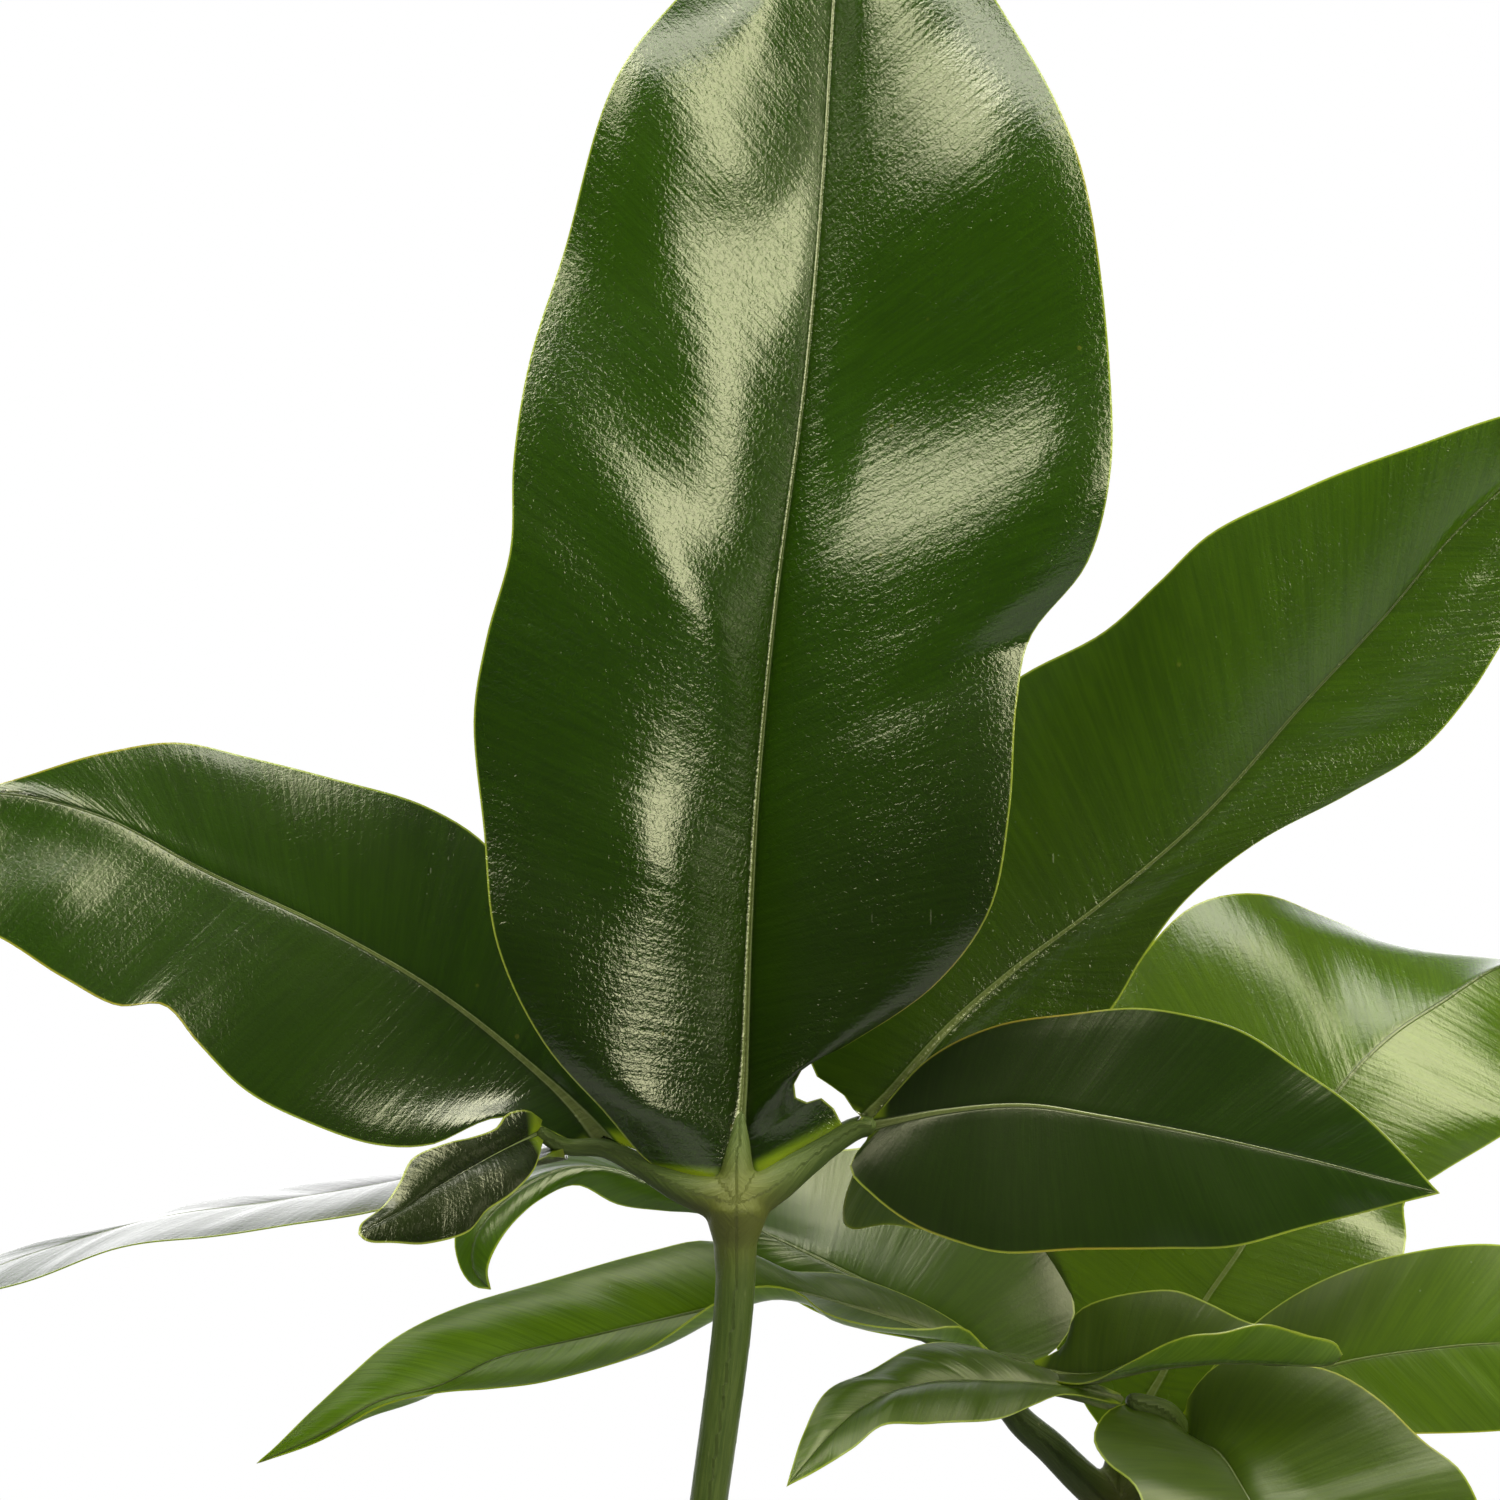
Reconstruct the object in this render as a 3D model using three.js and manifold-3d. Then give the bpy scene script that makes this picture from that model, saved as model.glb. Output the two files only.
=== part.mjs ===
// A small split-leaf philodendron in its plastic nursery pot: pot, potting mix, a short stem with air
// roots, seven compound leaves and one leaf that is still rolled. Millimetres, +Z up, the origin at the
// middle of the pot's underside, the front of the plant towards -Y.
import * as THREE from "three";
import Module from "manifold-3d";

const wasm = await Module();
wasm.setup();

// Driving dimensions of the pot and the mix in it
const potHeight = 190;
const potBaseRadius = 74;
const potTopRadius = 98;
const potWall = 1.8;
const potFloor = 2.6;
const potSides = 34;
const rimHeight = 18;
const rimOverhang = 5;
const drainHoles = 5;
const drainRadius = 5.5;
const drainCircle = 46;
const mixTop = 171;
const gap = 0.3; // between pieces that touch

// Driving dimensions of the plant
const stemFoot = 118;
const stemTop = 226;
const stemRadius = 15;
const airRoots = 4;
const airRootRadius = 2.6;
const bladeThickness = 0.8;
const tipWidth = 1.4;
const veinLean = 0.5; // how far the side veins lean towards the tip
const ribDepths = [2.6, 1.3, 0.8, 0.5, 0.2]; // how far a rib stands out below, from base to tip
const beforeTip = 0.97; // the place on an edge that gives the direction of the blunt tip
const sideShift = 0.4; // how far the waves of a leaflet's two edges are out of step

// Leaves A and B were measured from the front. Their points are [across, depth, up] from their own fork, as
// they look from the measuring point, and depth then moves a point along its line of sight.
const forkA = new THREE.Vector3(40, -60, 530);
const measuringPoint = new THREE.Vector3(42, -1560, 595);
const atForkA = { across: 0, up: 0 };
const atForkB = { across: 56, up: -44 };

const colour = {
  pot: 0x2b2c2b,
  mix: 0x3a2a1e,
  stem: 0x6f7a3c,
  leaf: 0x1f5a12,
  youngLeaf: 0x7fa63a,
};

function fromFront([across, depth, up], origin) {
  const flat = new THREE.Vector3(origin.across + across, 0, origin.up + up).add(forkA);
  const distance = forkA.y - measuringPoint.y;
  return flat.sub(measuringPoint).multiplyScalar((distance + depth) / distance).add(measuringPoint);
}

function smooth(points) {
  return new THREE.CatmullRomCurve3(points);
}

// The same draws each time, from a seed
function seeded(seed) {
  let state = seed;
  return () => {
    state = (state + 0x6d2b79f5) | 0;
    let t = Math.imul(state ^ (state >>> 15), 1 | state);
    t = (t + Math.imul(t ^ (t >>> 7), 61 | t)) ^ t;
    return ((t ^ (t >>> 14)) >>> 0) / 4294967296;
  };
}

function solidOf(points, triangles) {
  const vertProperties = new Float32Array(points.flatMap((p) => [p.x, p.y, p.z]));
  const mesh = new wasm.Mesh({ numProp: 3, vertProperties, triVerts: new Uint32Array(triangles) });
  return new wasm.Manifold(mesh);
}

// A three.js geometry of one closed surface as a solid
function solidOfGeometry(geometry) {
  const position = geometry.getAttribute("position");
  const places = new Map();
  const points = [];
  const merged = [];
  for (let i = 0; i < position.count; i++) {
    const p = new THREE.Vector3().fromBufferAttribute(position, i);
    const key = p.toArray().map((v) => Math.round(v * 1e4)).join();
    if (!places.has(key)) places.set(key, points.push(p) - 1);
    merged.push(places.get(key));
  }
  const corners = geometry.index ? Array.from(geometry.index.array, (i) => merged[i]) : merged;
  const triangles = [];
  for (let i = 0; i < corners.length; i += 3) {
    const [a, b, c] = corners.slice(i, i + 3);
    if (a !== b && b !== c && c !== a) triangles.push(a, b, c);
  }
  return solidOf(points, triangles);
}

function union(solids) {
  return solids.reduce((whole, next) => whole.add(next));
}

// Solids joined as one body, without the scraps that a crossing can leave loose
function oneBody(solids) {
  const bodies = union(solids).decompose();
  return bodies.reduce((largest, body) => (body.volume() > largest.volume() ? body : largest));
}

function meshOf(name, solid, color, roughness) {
  const { vertProperties, triVerts } = solid.getMesh();
  const geometry = new THREE.BufferGeometry();
  geometry.setAttribute("position", new THREE.BufferAttribute(vertProperties, 3));
  geometry.setIndex(new THREE.BufferAttribute(triVerts, 1));
  geometry.computeVertexNormals();
  const material = new THREE.MeshStandardMaterial({ color, roughness, metalness: 0, flatShading: true });
  const mesh = new THREE.Mesh(geometry, material);
  mesh.name = name;
  return mesh;
}

// The value at share 0 to 1 of a list that is read evenly
function along(values, share) {
  const place = Math.min(share, 1) * (values.length - 1);
  const low = Math.min(Math.floor(place), values.length - 2);
  return values[low] + (values[low + 1] - values[low]) * (place - low);
}

// A round bar along a curve, with its radii read evenly from root to tip. A grown one is larger all round
// and at its root, for the hole that the bar stands in.
function bar(curve, radii, steps, sides, grow = 0) {
  const frames = curve.computeFrenetFrames(steps, false);
  const points = [];
  const triangles = [];
  for (let i = 0; i <= steps; i++) {
    const centre = curve.getPointAt(i / steps);
    if (i === 0) centre.addScaledVector(frames.tangents[0], -grow);
    const radius = along(radii, i / steps) + grow;
    for (let j = 0; j < sides; j++) {
      const turn = (2 * Math.PI * j) / sides;
      const p = centre.clone().addScaledVector(frames.normals[i], radius * Math.cos(turn));
      points.push(p.addScaledVector(frames.binormals[i], radius * Math.sin(turn)));
    }
  }
  const at = (i, j) => i * sides + (j % sides);
  for (let i = 0; i < steps; i++)
    for (let j = 0; j < sides; j++) {
      triangles.push(at(i, j), at(i, j + 1), at(i + 1, j + 1));
      triangles.push(at(i, j), at(i + 1, j + 1), at(i + 1, j));
    }
  const foot = points.push(curve.getPointAt(0).addScaledVector(frames.tangents[0], -grow)) - 1;
  const head = points.push(curve.getPointAt(1)) - 1;
  for (let j = 0; j < sides; j++) {
    triangles.push(foot, at(0, j + 1), at(0, j));
    triangles.push(head, at(steps, j), at(steps, j + 1));
  }
  return solidOf(points, triangles);
}

// One leaflet: a thin waved blade between its left and right edges, thicker along its rib. Left and right
// are as seen from its upper face with the tip up. The same diagonals split both faces.
function blade(spec, rows, across) {
  const { rib, left, right, belly = [0.1, 0.1], wave = 1.5, waves = 3, phase = 0 } = spec;
  const ribCurve = smooth(rib);
  const edges = [smooth(left), smooth(right)];
  const half = across.length - 1;
  const columns = 2 * half + 1;
  const grid = [];
  for (let i = 0; i <= rows; i++) {
    const s = i / rows;
    const reach = s + veinLean * s * (1 - s);
    const middle = ribCurve.getPointAt(s);
    const ends = edges.map((edge) => edge.getPointAt(Math.min(reach, 1)));
    if (i === rows) {
      const before = edges.map((edge) => edge.getPointAt(beforeTip));
      const sideways = before[1].clone().sub(before[0]).setLength(tipWidth / 2);
      ends[0] = middle.clone().sub(sideways);
      ends[1] = middle.clone().add(sideways);
    }
    const outward = ends[1].clone().sub(ends[0]).cross(ribCurve.getTangentAt(s)).normalize();
    for (let j = -half; j <= half; j++) {
      const side = j < 0 ? 0 : 1;
      const share = across[Math.abs(j)];
      const width = ends[side].distanceTo(middle);
      const turns = waves * s + phase + sideShift * side;
      const ripple = Math.sin(2 * Math.PI * turns) * Math.sin(Math.PI * s);
      const lift = belly[side] * width * 4 * share * (1 - share) + wave * share * share * ripple;
      grid.push(middle.clone().lerp(ends[side], share).addScaledVector(outward, lift));
    }
  }
  const at = (i, j) => i * columns + j;
  const clamp = (v, high) => Math.min(Math.max(v, 0), high);
  const step = (i0, j0, i1, j1) => grid[at(i1, j1)].clone().sub(grid[at(i0, j0)]);
  const points = [];
  for (const face of [1, -1])
    for (let i = 0; i <= rows; i++)
      for (let j = 0; j < columns; j++) {
        const sideways = step(i, clamp(j - 1, columns - 1), i, clamp(j + 1, columns - 1));
        const onward = step(clamp(i - 1, rows), j, clamp(i + 1, rows), j);
        const normal = sideways.cross(onward).normalize();
        const ribPart = j === half ? along(ribDepths, i / rows) : 0;
        const offset = face > 0 ? bladeThickness / 2 : -bladeThickness / 2 - ribPart;
        points.push(grid[at(i, j)].clone().addScaledVector(normal, offset));
      }
  const under = (rows + 1) * columns;
  const triangles = [];
  const quad = (a, b, c, d) => triangles.push(a, b, c, a, c, d);
  for (let i = 0; i < rows; i++)
    for (let j = 0; j < columns - 1; j++) {
      const [a, b, c, d] = [at(i, j), at(i, j + 1), at(i + 1, j + 1), at(i + 1, j)];
      quad(a, b, c, d);
      triangles.push(under + a, under + c, under + b, under + a, under + d, under + c);
    }
  for (let i = 0; i < rows; i++) {
    const right0 = at(i, columns - 1);
    const right1 = at(i + 1, columns - 1);
    quad(right0, under + right0, under + right1, right1);
    quad(at(i, 0), at(i + 1, 0), under + at(i + 1, 0), under + at(i, 0));
  }
  for (let j = 0; j < columns - 1; j++) {
    quad(at(0, j), under + at(0, j), under + at(0, j + 1), at(0, j + 1));
    quad(at(rows, j), at(rows, j + 1), under + at(rows, j + 1), under + at(rows, j));
  }
  return solidOf(points, triangles);
}

const fine = { rows: 19, across: [0, 0.06, 0.36, 0.7, 1] };
const middling = { rows: 12, across: [0, 0.1, 0.55, 1] };
const plain = { rows: 10, across: [0, 0.5, 1] };

// The leaflets of leaf A, the tall leaf in front
const leafA = {
  middle: {
    detail: fine,
    rib: [
      [0, 0, 0], [1, 2, 13], [2, 4, 38], [3.3, 5, 61], [6, 7, 88], [10.4, 11, 121], [13, 17, 151],
      [14.6, 25, 178], [17, 38, 208],
    ],
    left: [
      [-10.5, 0.4, 1.2], [-14.5, -1, 4.3], [-20, -4, 10.5], [-29, -7, 21], [-36, -8, 36],
      [-38, -5, 53], [-39.5, -3, 70], [-37.5, -4, 82], [-34, -5, 95], [-33.5, -2, 108],
      [-31, 1, 124], [-26, 6, 140], [-18.5, 14, 163], [-8, 23, 178], [4, 32, 196], [17, 38, 208],
    ],
    right: [
      [16.4, 1.6, 6.6], [15, 1.4, 10.6], [12.4, 1, 12.8], [10.4, 0.2, 12], [8.4, -1.6, 13.4],
      [9.6, -3, 16.8], [17, -5, 21], [30, -9, 30], [38, -11, 41], [41, -9, 56], [42, -4, 72],
      [44, 0, 82], [52.5, -2, 93], [56, -4, 106], [56, -2, 122], [52.5, 5, 149], [48, 11, 161],
      [38, 22, 178], [28, 31, 195], [17, 38, 208],
    ],
    belly: [0.13, 0.12],
    wave: 1.5,
    waves: 3.5,
  },
  left1: {
    detail: middling,
    rib: [
      [-20, 2, 7], [-28, 5, 15], [-44, 9, 28], [-60, 12, 37.5], [-80, 14, 47], [-95, 14, 55],
      [-110, 12, 58.5], [-126, 8, 57], [-142, 2, 49],
    ],
    left: [
      [-22, 2, 5], [-35, 3, 9.5], [-46, 4, 5], [-54, 5, 5.2], [-65, 5, 9.5], [-74, 5, 14.5],
      [-81, 5, 21.5], [-86, 5, 27], [-93, 5, 27], [-101, 4, 31.5], [-110, 4, 37], [-127, 3, 43],
      [-142, 2, 49],
    ],
    right: [
      [-13, 2, 4.2], [-20, 6, 20], [-30, 12, 38], [-37, 14, 50], [-46, 16, 56], [-60, 17, 60.5],
      [-73, 18, 64.3], [-84, 18, 66.5], [-95, 17, 64.5], [-110, 14, 60], [-128, 9, 57],
      [-142, 2, 49],
    ],
    belly: [0.02, 0.06],
  },
  left2: {
    detail: plain,
    rib: [
      [-30, 0, 7.5], [-36, -6, 4.5], [-44, -14, 0], [-51, -22, -4.5], [-56.8, -28, -7.6],
    ],
    left: [
      [-29, 0, 6.5], [-30.5, -4, 2], [-34, -9, -1.8], [-37.6, -12, -4.2], [-40.5, -15, -7.4],
      [-46.5, -20, -9], [-52.5, -25, -9], [-55.6, -27.5, -8.6], [-56.8, -28, -7.6],
    ],
    right: [
      [-29.2, 0, 9.5], [-31.5, -2, 11], [-34.5, -4, 10.4], [-36, -6, 8.4], [-40, -9, 6.8],
      [-43.5, -12, 6], [-48.5, -16, 3.8], [-50.8, -19, 0], [-53, -22, -3.4], [-56.4, -26, -6.2],
      [-56.8, -28, -7.6],
    ],
    wave: 0.3,
  },
  left3: {
    detail: plain,
    rib: [
      [-26, 2, 5.6], [-40, 6, 2.5], [-55, 8, -0.5], [-70, 9, -3], [-85, 10, -5], [-100, 10, -9],
      [-113, 9, -13.5], [-133, 6, -24],
    ],
    left: [
      [-26, 0.8, 5], [-40, -4, -0.5], [-54, -8, -4], [-67, -10, -5.8], [-80, -10, -8.5],
      [-95, -8, -10.4], [-110, -4, -15.5], [-133, 6, -24],
    ],
    right: [
      [-26, 3.4, 6], [-40, 16, 4], [-55, 22, 1.2], [-70, 25, -1.4], [-84, 25, -3],
      [-94, 23, -7.5], [-110, 18, -11], [-133, 6, -24],
    ],
    belly: [0.02, 0.02],
    wave: 0.6,
  },
  right1: {
    detail: middling,
    rib: [
      [19.5, 2.4, 8.8], [31, 7, 22.5], [41, 10, 31.5], [55, 13, 42], [70, 15, 55], [85, 17, 72],
      [97, 18, 85], [108, 20, 98], [122, 24, 110], [138, 30, 119],
    ],
    left: [
      [19.4, 2.6, 9.6], [17, 4, 11.6], [15.6, 5, 13.8], [12, 6.5, 16], [10.5, 10, 24],
      [15, 15, 38], [24, 19, 56], [34, 20, 69], [42.5, 19, 76], [54.8, 17, 82.5], [63, 15, 90],
      [71, 14, 97.5], [85, 12, 104], [100, 13, 110], [115, 17, 115.5], [138, 30, 119],
    ],
    right: [
      [21, 2.4, 8.4], [36, 9, 14], [48, 12, 19.5], [56, 13, 26], [61, 14, 34], [67, 15, 42],
      [78, 16, 51], [92, 17, 58.5], [103, 18, 65], [110, 20, 73], [116, 22, 83], [128, 26, 101],
      [138, 30, 119],
    ],
    belly: [0.04, 0.03],
  },
  right2: {
    detail: middling,
    rib: [
      [20.5, 2, 8.4], [31, -2, 10.7], [43, -6, 11.7], [55, -11, 10], [70, -16, 7.2],
      [85, -21, 3.8], [105.5, -28, -1.5],
    ],
    left: [
      [20.3, 2, 9.6], [29, 0, 18.8], [39, -3, 23.7], [50, -7, 25.5], [60, -10, 26.3],
      [69, -14, 25], [76, -17, 22.8], [84, -20, 17.5], [94, -24, 10.5], [105.5, -28, -1.5],
    ],
    right: [
      [20, 2, 7.2], [17, 1, 2.2], [20, -1, -1.5], [26, -3, -6], [33, -5, -8.8], [40, -8, -10.5],
      [52, -12, -10], [64, -16, -9.8], [75, -19, -9.5], [86, -22, -6.5], [105.5, -28, -1.5],
    ],
    belly: [0, 0.02],
    wave: 0.8,
  },
  right3: {
    detail: plain,
    rib: [
      [20.8, 2.2, 7.8], [23, 12, 3], [28, 22, 0], [35, 33, -2], [42, 42, -5],
    ],
    left: [
      [19.6, 2.8, 6.8], [16, 10, -4], [17, 18, -6.5], [25, 29, -6.5], [34, 38, -6], [42, 42, -5],
    ],
    right: [
      [22.2, 2.8, 7.6], [32, 12, 5], [40, 22, 3], [44, 32, 0], [44, 38, -3], [42, 42, -5],
    ],
    wave: 0.6,
  },
};

// The leaflets of leaf B, behind it to the right, from their own fork
const leafB = {
  middle: {
    detail: middling,
    rib: [
      [1.5, 50, 4.5], [6, 50, 12], [14, 51, 26], [19.5, 52, 34], [28.5, 56, 49], [35, 59, 59],
      [42, 63, 66], [49.5, 68, 71], [58.5, 75, 76.5], [69, 83, 78], [79.5, 91, 74],
    ],
    left: [
      [0.3, 50, 5], [-4.5, 53, 12], [-9, 55, 22], [-12, 57, 34], [-12, 60, 50], [-6, 63, 62],
      [0.3, 66, 70.5], [6, 69, 79.5], [13, 72, 85.8], [23, 75, 87.8], [33, 78, 85.2],
      [48, 82, 79.8], [67.5, 87, 76], [79.5, 91, 74],
    ],
    right: [
      [4.5, 50, 4.5], [17, 48, 12], [33, 50, 19.5], [42, 54, 27], [44.3, 56, 35],
      [44.3, 60, 41.5], [49.5, 62, 45.5], [58.5, 67, 50.5], [70, 77, 57], [79.5, 91, 74],
    ],
    belly: [0.03, 0.03],
  },
  left1: {
    detail: middling,
    rib: [
      [-15, 49, 14], [-24, 51, 22.5], [-39, 56, 30.3], [-52, 61, 36.5], [-66, 67, 43],
      [-79.5, 71, 46.5], [-89, 72, 42.5], [-95, 71.5, 36], [-95.4, 71, 31.2], [-92.9, 70, 28.1],
    ],
    left: [
      [-14, 47, 13], [-24, 48, 19], [-40, 53, 23], [-53, 60, 30.5], [-60, 65, 38.5],
      [-67, 68, 40], [-74, 70, 41.3], [-80, 71, 43.8], [-85.7, 70, 41], [-91.2, 69, 36],
      [-93.4, 69, 31.2], [-92.9, 70, 28.1],
    ],
    right: [
      [-12, 50, 16], [-6.5, 52, 21], [-5.2, 53, 26], [-9.5, 56, 36], [-17, 60, 44],
      [-29, 65, 49.5], [-43, 70, 49.3], [-57, 75, 47.8], [-73, 78, 48.6], [-82, 78, 49],
      [-92, 76, 42], [-98, 75, 37], [-97.4, 73, 31.4], [-95.3, 71.5, 28.6], [-92.9, 70, 28.1],
    ],
    belly: [0.08, 0.06],
    wave: 0.6,
  },
  left2: {
    detail: middling,
    rib: [
      [-17.5, 45, 16.5], [-25.5, 44, 21], [-39, 42, 25.5], [-50, 41, 27.8], [-60, 40, 25.2],
      [-79, 39, 20.8], [-92, 37, 17.7], [-100, 35, 13.9], [-109.6, 32, 11.4], [-118, 29, 6.6],
      [-128, 27, 2],
    ],
    left: [
      [-16.5, 43, 16], [-22, 37, 22.3], [-28, 34, 22], [-36, 31, 22.6], [-43, 30, 24.8],
      [-47, 29, 28], [-53, 29, 28.8], [-59, 30, 26.3], [-70.5, 29, 18.3], [-84, 28, 14.5],
      [-93, 28, 13.5], [-100, 29, 12.8], [-109.4, 29, 10.4], [-118.2, 28, 5.6], [-128, 27, 2],
    ],
    right: [
      [-16.5, 46, 17.5], [-23, 47, 23], [-31.5, 47, 27.6], [-40.5, 47, 30.5], [-50, 47, 31],
      [-60, 47, 35], [-69, 46, 33.6], [-84, 45, 29.8], [-97.5, 42, 25.3], [-108, 38, 20.1],
      [-114, 35, 15.3], [-119, 32, 10.6], [-125.4, 28, 4.2], [-128, 27, 2],
    ],
    belly: [-0.1, 0.08],
    wave: 0.4,
  },
  left3: {
    detail: plain,
    rib: [
      [-12, 36, 16], [-4, 34, 15.2], [6, 32, 16.8], [17, 30, 17.6], [28.5, 28, 17],
      [33, 27.5, 17], [34.9, 27, 18.3],
    ],
    left: [
      [-12, 37, 17], [-7, 37, 19.5], [-5, 37, 24.5], [0, 36, 27], [9, 35, 27.9], [15, 33, 25.8],
      [22, 31, 23], [29, 29, 21.3], [33.8, 28, 19.9], [34.9, 27, 18.3],
    ],
    right: [
      [-12, 35, 15], [-4, 31, 14], [3, 27, 17], [12, 24, 21.3], [17, 23, 21.8], [23, 23, 22.6],
      [29, 24, 21.5], [33.8, 25.5, 20], [34.9, 27, 18.3],
    ],
    belly: [0.05, -0.05],
    wave: 0.3,
  },
  right1: {
    detail: plain,
    rib: [
      [10.5, 46, 6], [22.5, 45, 13], [34.5, 43, 17], [46.5, 42, 19], [58.5, 41, 20],
      [70.5, 41, 19.5], [85, 42, 14],
    ],
    left: [
      [10, 46.5, 8], [15.5, 47, 16.5], [22, 47, 23.2], [28.5, 46, 27.8], [36, 45, 31.2],
      [43.5, 45, 33.3], [58.5, 44, 34.8], [72, 43, 31], [85, 42, 14],
    ],
    right: [
      [11.5, 45, 4.5], [22.5, 43, 6.5], [34.5, 42, 6.3], [46.5, 41, 6.4], [58.5, 40, 6.9],
      [72, 40, 8], [85, 42, 14],
    ],
    belly: [0.03, 0.03],
    wave: 0.8,
  },
  right2: {
    detail: plain,
    rib: [
      [10.5, 44, 5], [15.8, 38, 3.8], [20, 31, -2], [25, 24, -12], [28.5, 18, -24], [31, 14, -33],
    ],
    left: [
      [11.5, 45, 7], [11.5, 44, 11.5], [17, 42, 17.5], [25.5, 38, 17.7], [34, 34, 16.3],
      [41, 30, 12], [47, 26, 6], [53, 22, 0.8], [56, 18, -8], [51, 15, -20], [41, 14, -30],
      [31, 14, -33],
    ],
    right: [
      [9.5, 43, 6.5], [7, 40, 11], [0, 36, 10.3], [-2.5, 32, 6], [-0.5, 28, 2], [4, 24, -2],
      [7, 20, -12], [14, 16, -25], [31, 14, -33],
    ],
    belly: [0.06, 0.05],
    wave: 0.6,
  },
  right3: {
    detail: plain,
    rib: [
      [2, 37, 11.5], [-7.5, 33, 13.5], [-17, 29, 14.2], [-27, 24, 14], [-36, 18, 11],
      [-42, 13, 6], [-48.5, 8, -1.5],
    ],
    left: [
      [1.5, 36, 10.8], [-7, 30, 12.2], [-11, 26, 11], [-17, 21, 8.7], [-27, 16, 7.7],
      [-34, 12, 8], [-39, 10, 3.8], [-48.5, 8, -1.5],
    ],
    right: [
      [1.5, 38, 12.4], [-5, 38, 15], [-16.5, 36, 18], [-23, 34, 19.8], [-29.5, 30, 19.4],
      [-36, 25, 16], [-43, 18, 12], [-46, 13, 6.5], [-48.5, 8, -1.5],
    ],
    wave: 0.4,
  },
};

// Arms and leaf stalks. An arm starts at the fork and carries the leaflets of its side.
const armsA = [
  {
    route: [
      [0, 0, -3], [-7.8, 0, -0.8], [-15, 1, 3], [-20, 2, 5.3], [-26, 2, 5.6], [-30, 0, 8],
    ],
    radii: [4, 2.7, 2, 1.6, 1.4, 1.2],
  },
  {
    route: [
      [0, 0, -3], [4.8, 0, -0.8], [9.8, 1, 2.9], [14.5, 2, 6.3], [19, 2.5, 8.6], [21, 2, 8],
    ],
    radii: [4, 3, 2.6, 2.2, 1.9, 1.6],
  },
  {
    route: [
      [-0.4, 0.6, -14], [-0.2, 0.2, -8], [0, 0, -3], [0, 0.3, 1.5], [0.3, 1, 6], [0.8, 2, 11],
    ],
    radii: [2.9, 3.3, 5, 2.8, 1.9, 1.2],
  },
];
const armsB = [
  {
    route: [
      [1.5, 50, -5.3], [-4.5, 48, 0], [-9, 47, 4.5], [-13.5, 47, 8.5], [-16.5, 47, 13],
      [-17, 44, 16.5], [-14.5, 40, 17], [-11.5, 36, 16],
    ],
    radii: [3.4, 2.9, 2.7, 2.5, 2.2, 2, 1.7, 1.5],
  },
  {
    route: [
      [1.5, 50, -5.3], [6, 49, 0], [10, 46, 5.3], [8.5, 41, 9.5], [2.5, 37, 11.6],
    ],
    radii: [3.4, 2.8, 2.3, 1.9, 1.4],
  },
  {
    route: [
      [1.5, 50, -5.3], [1, 50, 0], [2, 50, 6],
    ], radii: [3.4, 2.4, 1.8],
  },
];
const stalkRadii = [4.6, 4.3, 3.9, 3.4, 3.1, 2.9, 2.9, 3.1];
const stalkSteps = 13;
const stalkSides = 8;
const armSteps = 7;
const armSides = 6;

function fromFrontAll(points, origin) {
  return points.map((p) => fromFront(p, origin));
}

function measuredLeaf(leaflets, arms, origin, stalk) {
  const pieces = [bar(stalk, stalkRadii, stalkSteps, stalkSides)];
  for (const { route, radii } of arms)
    pieces.push(bar(smooth(fromFrontAll(route, origin)), radii, armSteps, armSides));
  for (const leaflet of Object.values(leaflets)) {
    const { rows, across } = leaflet.detail;
    const rib = fromFrontAll(leaflet.rib, origin);
    const left = fromFrontAll(leaflet.left, origin);
    const right = fromFrontAll(leaflet.right, origin);
    pieces.push(blade({ ...leaflet, rib, left, right }, rows, across));
  }
  return oneBody(pieces);
}

const point = (x, y, z) => new THREE.Vector3(x, y, z);
const radians = (degrees) => (degrees * Math.PI) / 180;

const stalkA = smooth([
  point(1, -8.5, 206),
  point(4, -18, 238),
  point(10, -30, 300),
  point(22, -47, 390),
  point(35.5, -57, 480),
  fromFront([-0.3, 0.5, -17], atForkA),
  fromFront([0, 0, -4], atForkA),
]);
const stalkB = smooth([
  point(8.5, 2.5, 204),
  point(18, 2, 238),
  point(38, -2, 306),
  point(66, -5, 385),
  point(92, -9, 455),
  fromFront([1.5, 50, -5.3], atForkB),
]);

// Half-width of a grown leaflet from base to tip, as a share of its widest. It ends in a point.
const widthShares = [0.1, 0.55, 0.86, 0.98, 1, 0.93, 0.76, 0.48, 0];
const leafletWidth = 0.19; // the widest half-width, as a share of the length
const leafletArch = 0.22; // how steeply a leaflet sets out above its heading
const leastDroop = 0.12; // how far its tip then hangs below the heading, as a share of the length
const mostDroop = 0.22;
const mostSway = 0.06; // how far its tip bends aside
const troughAngle = 0.3; // radians that each half of the blade is raised from flat near its base
const shortening = 0.05; // the length that the arch takes up
const edgeLag = 0.03; // how far the edges lie behind the rib, as a share of the length
const shingle = 0.34; // radians that a side leaflet is turned about its rib

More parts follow.
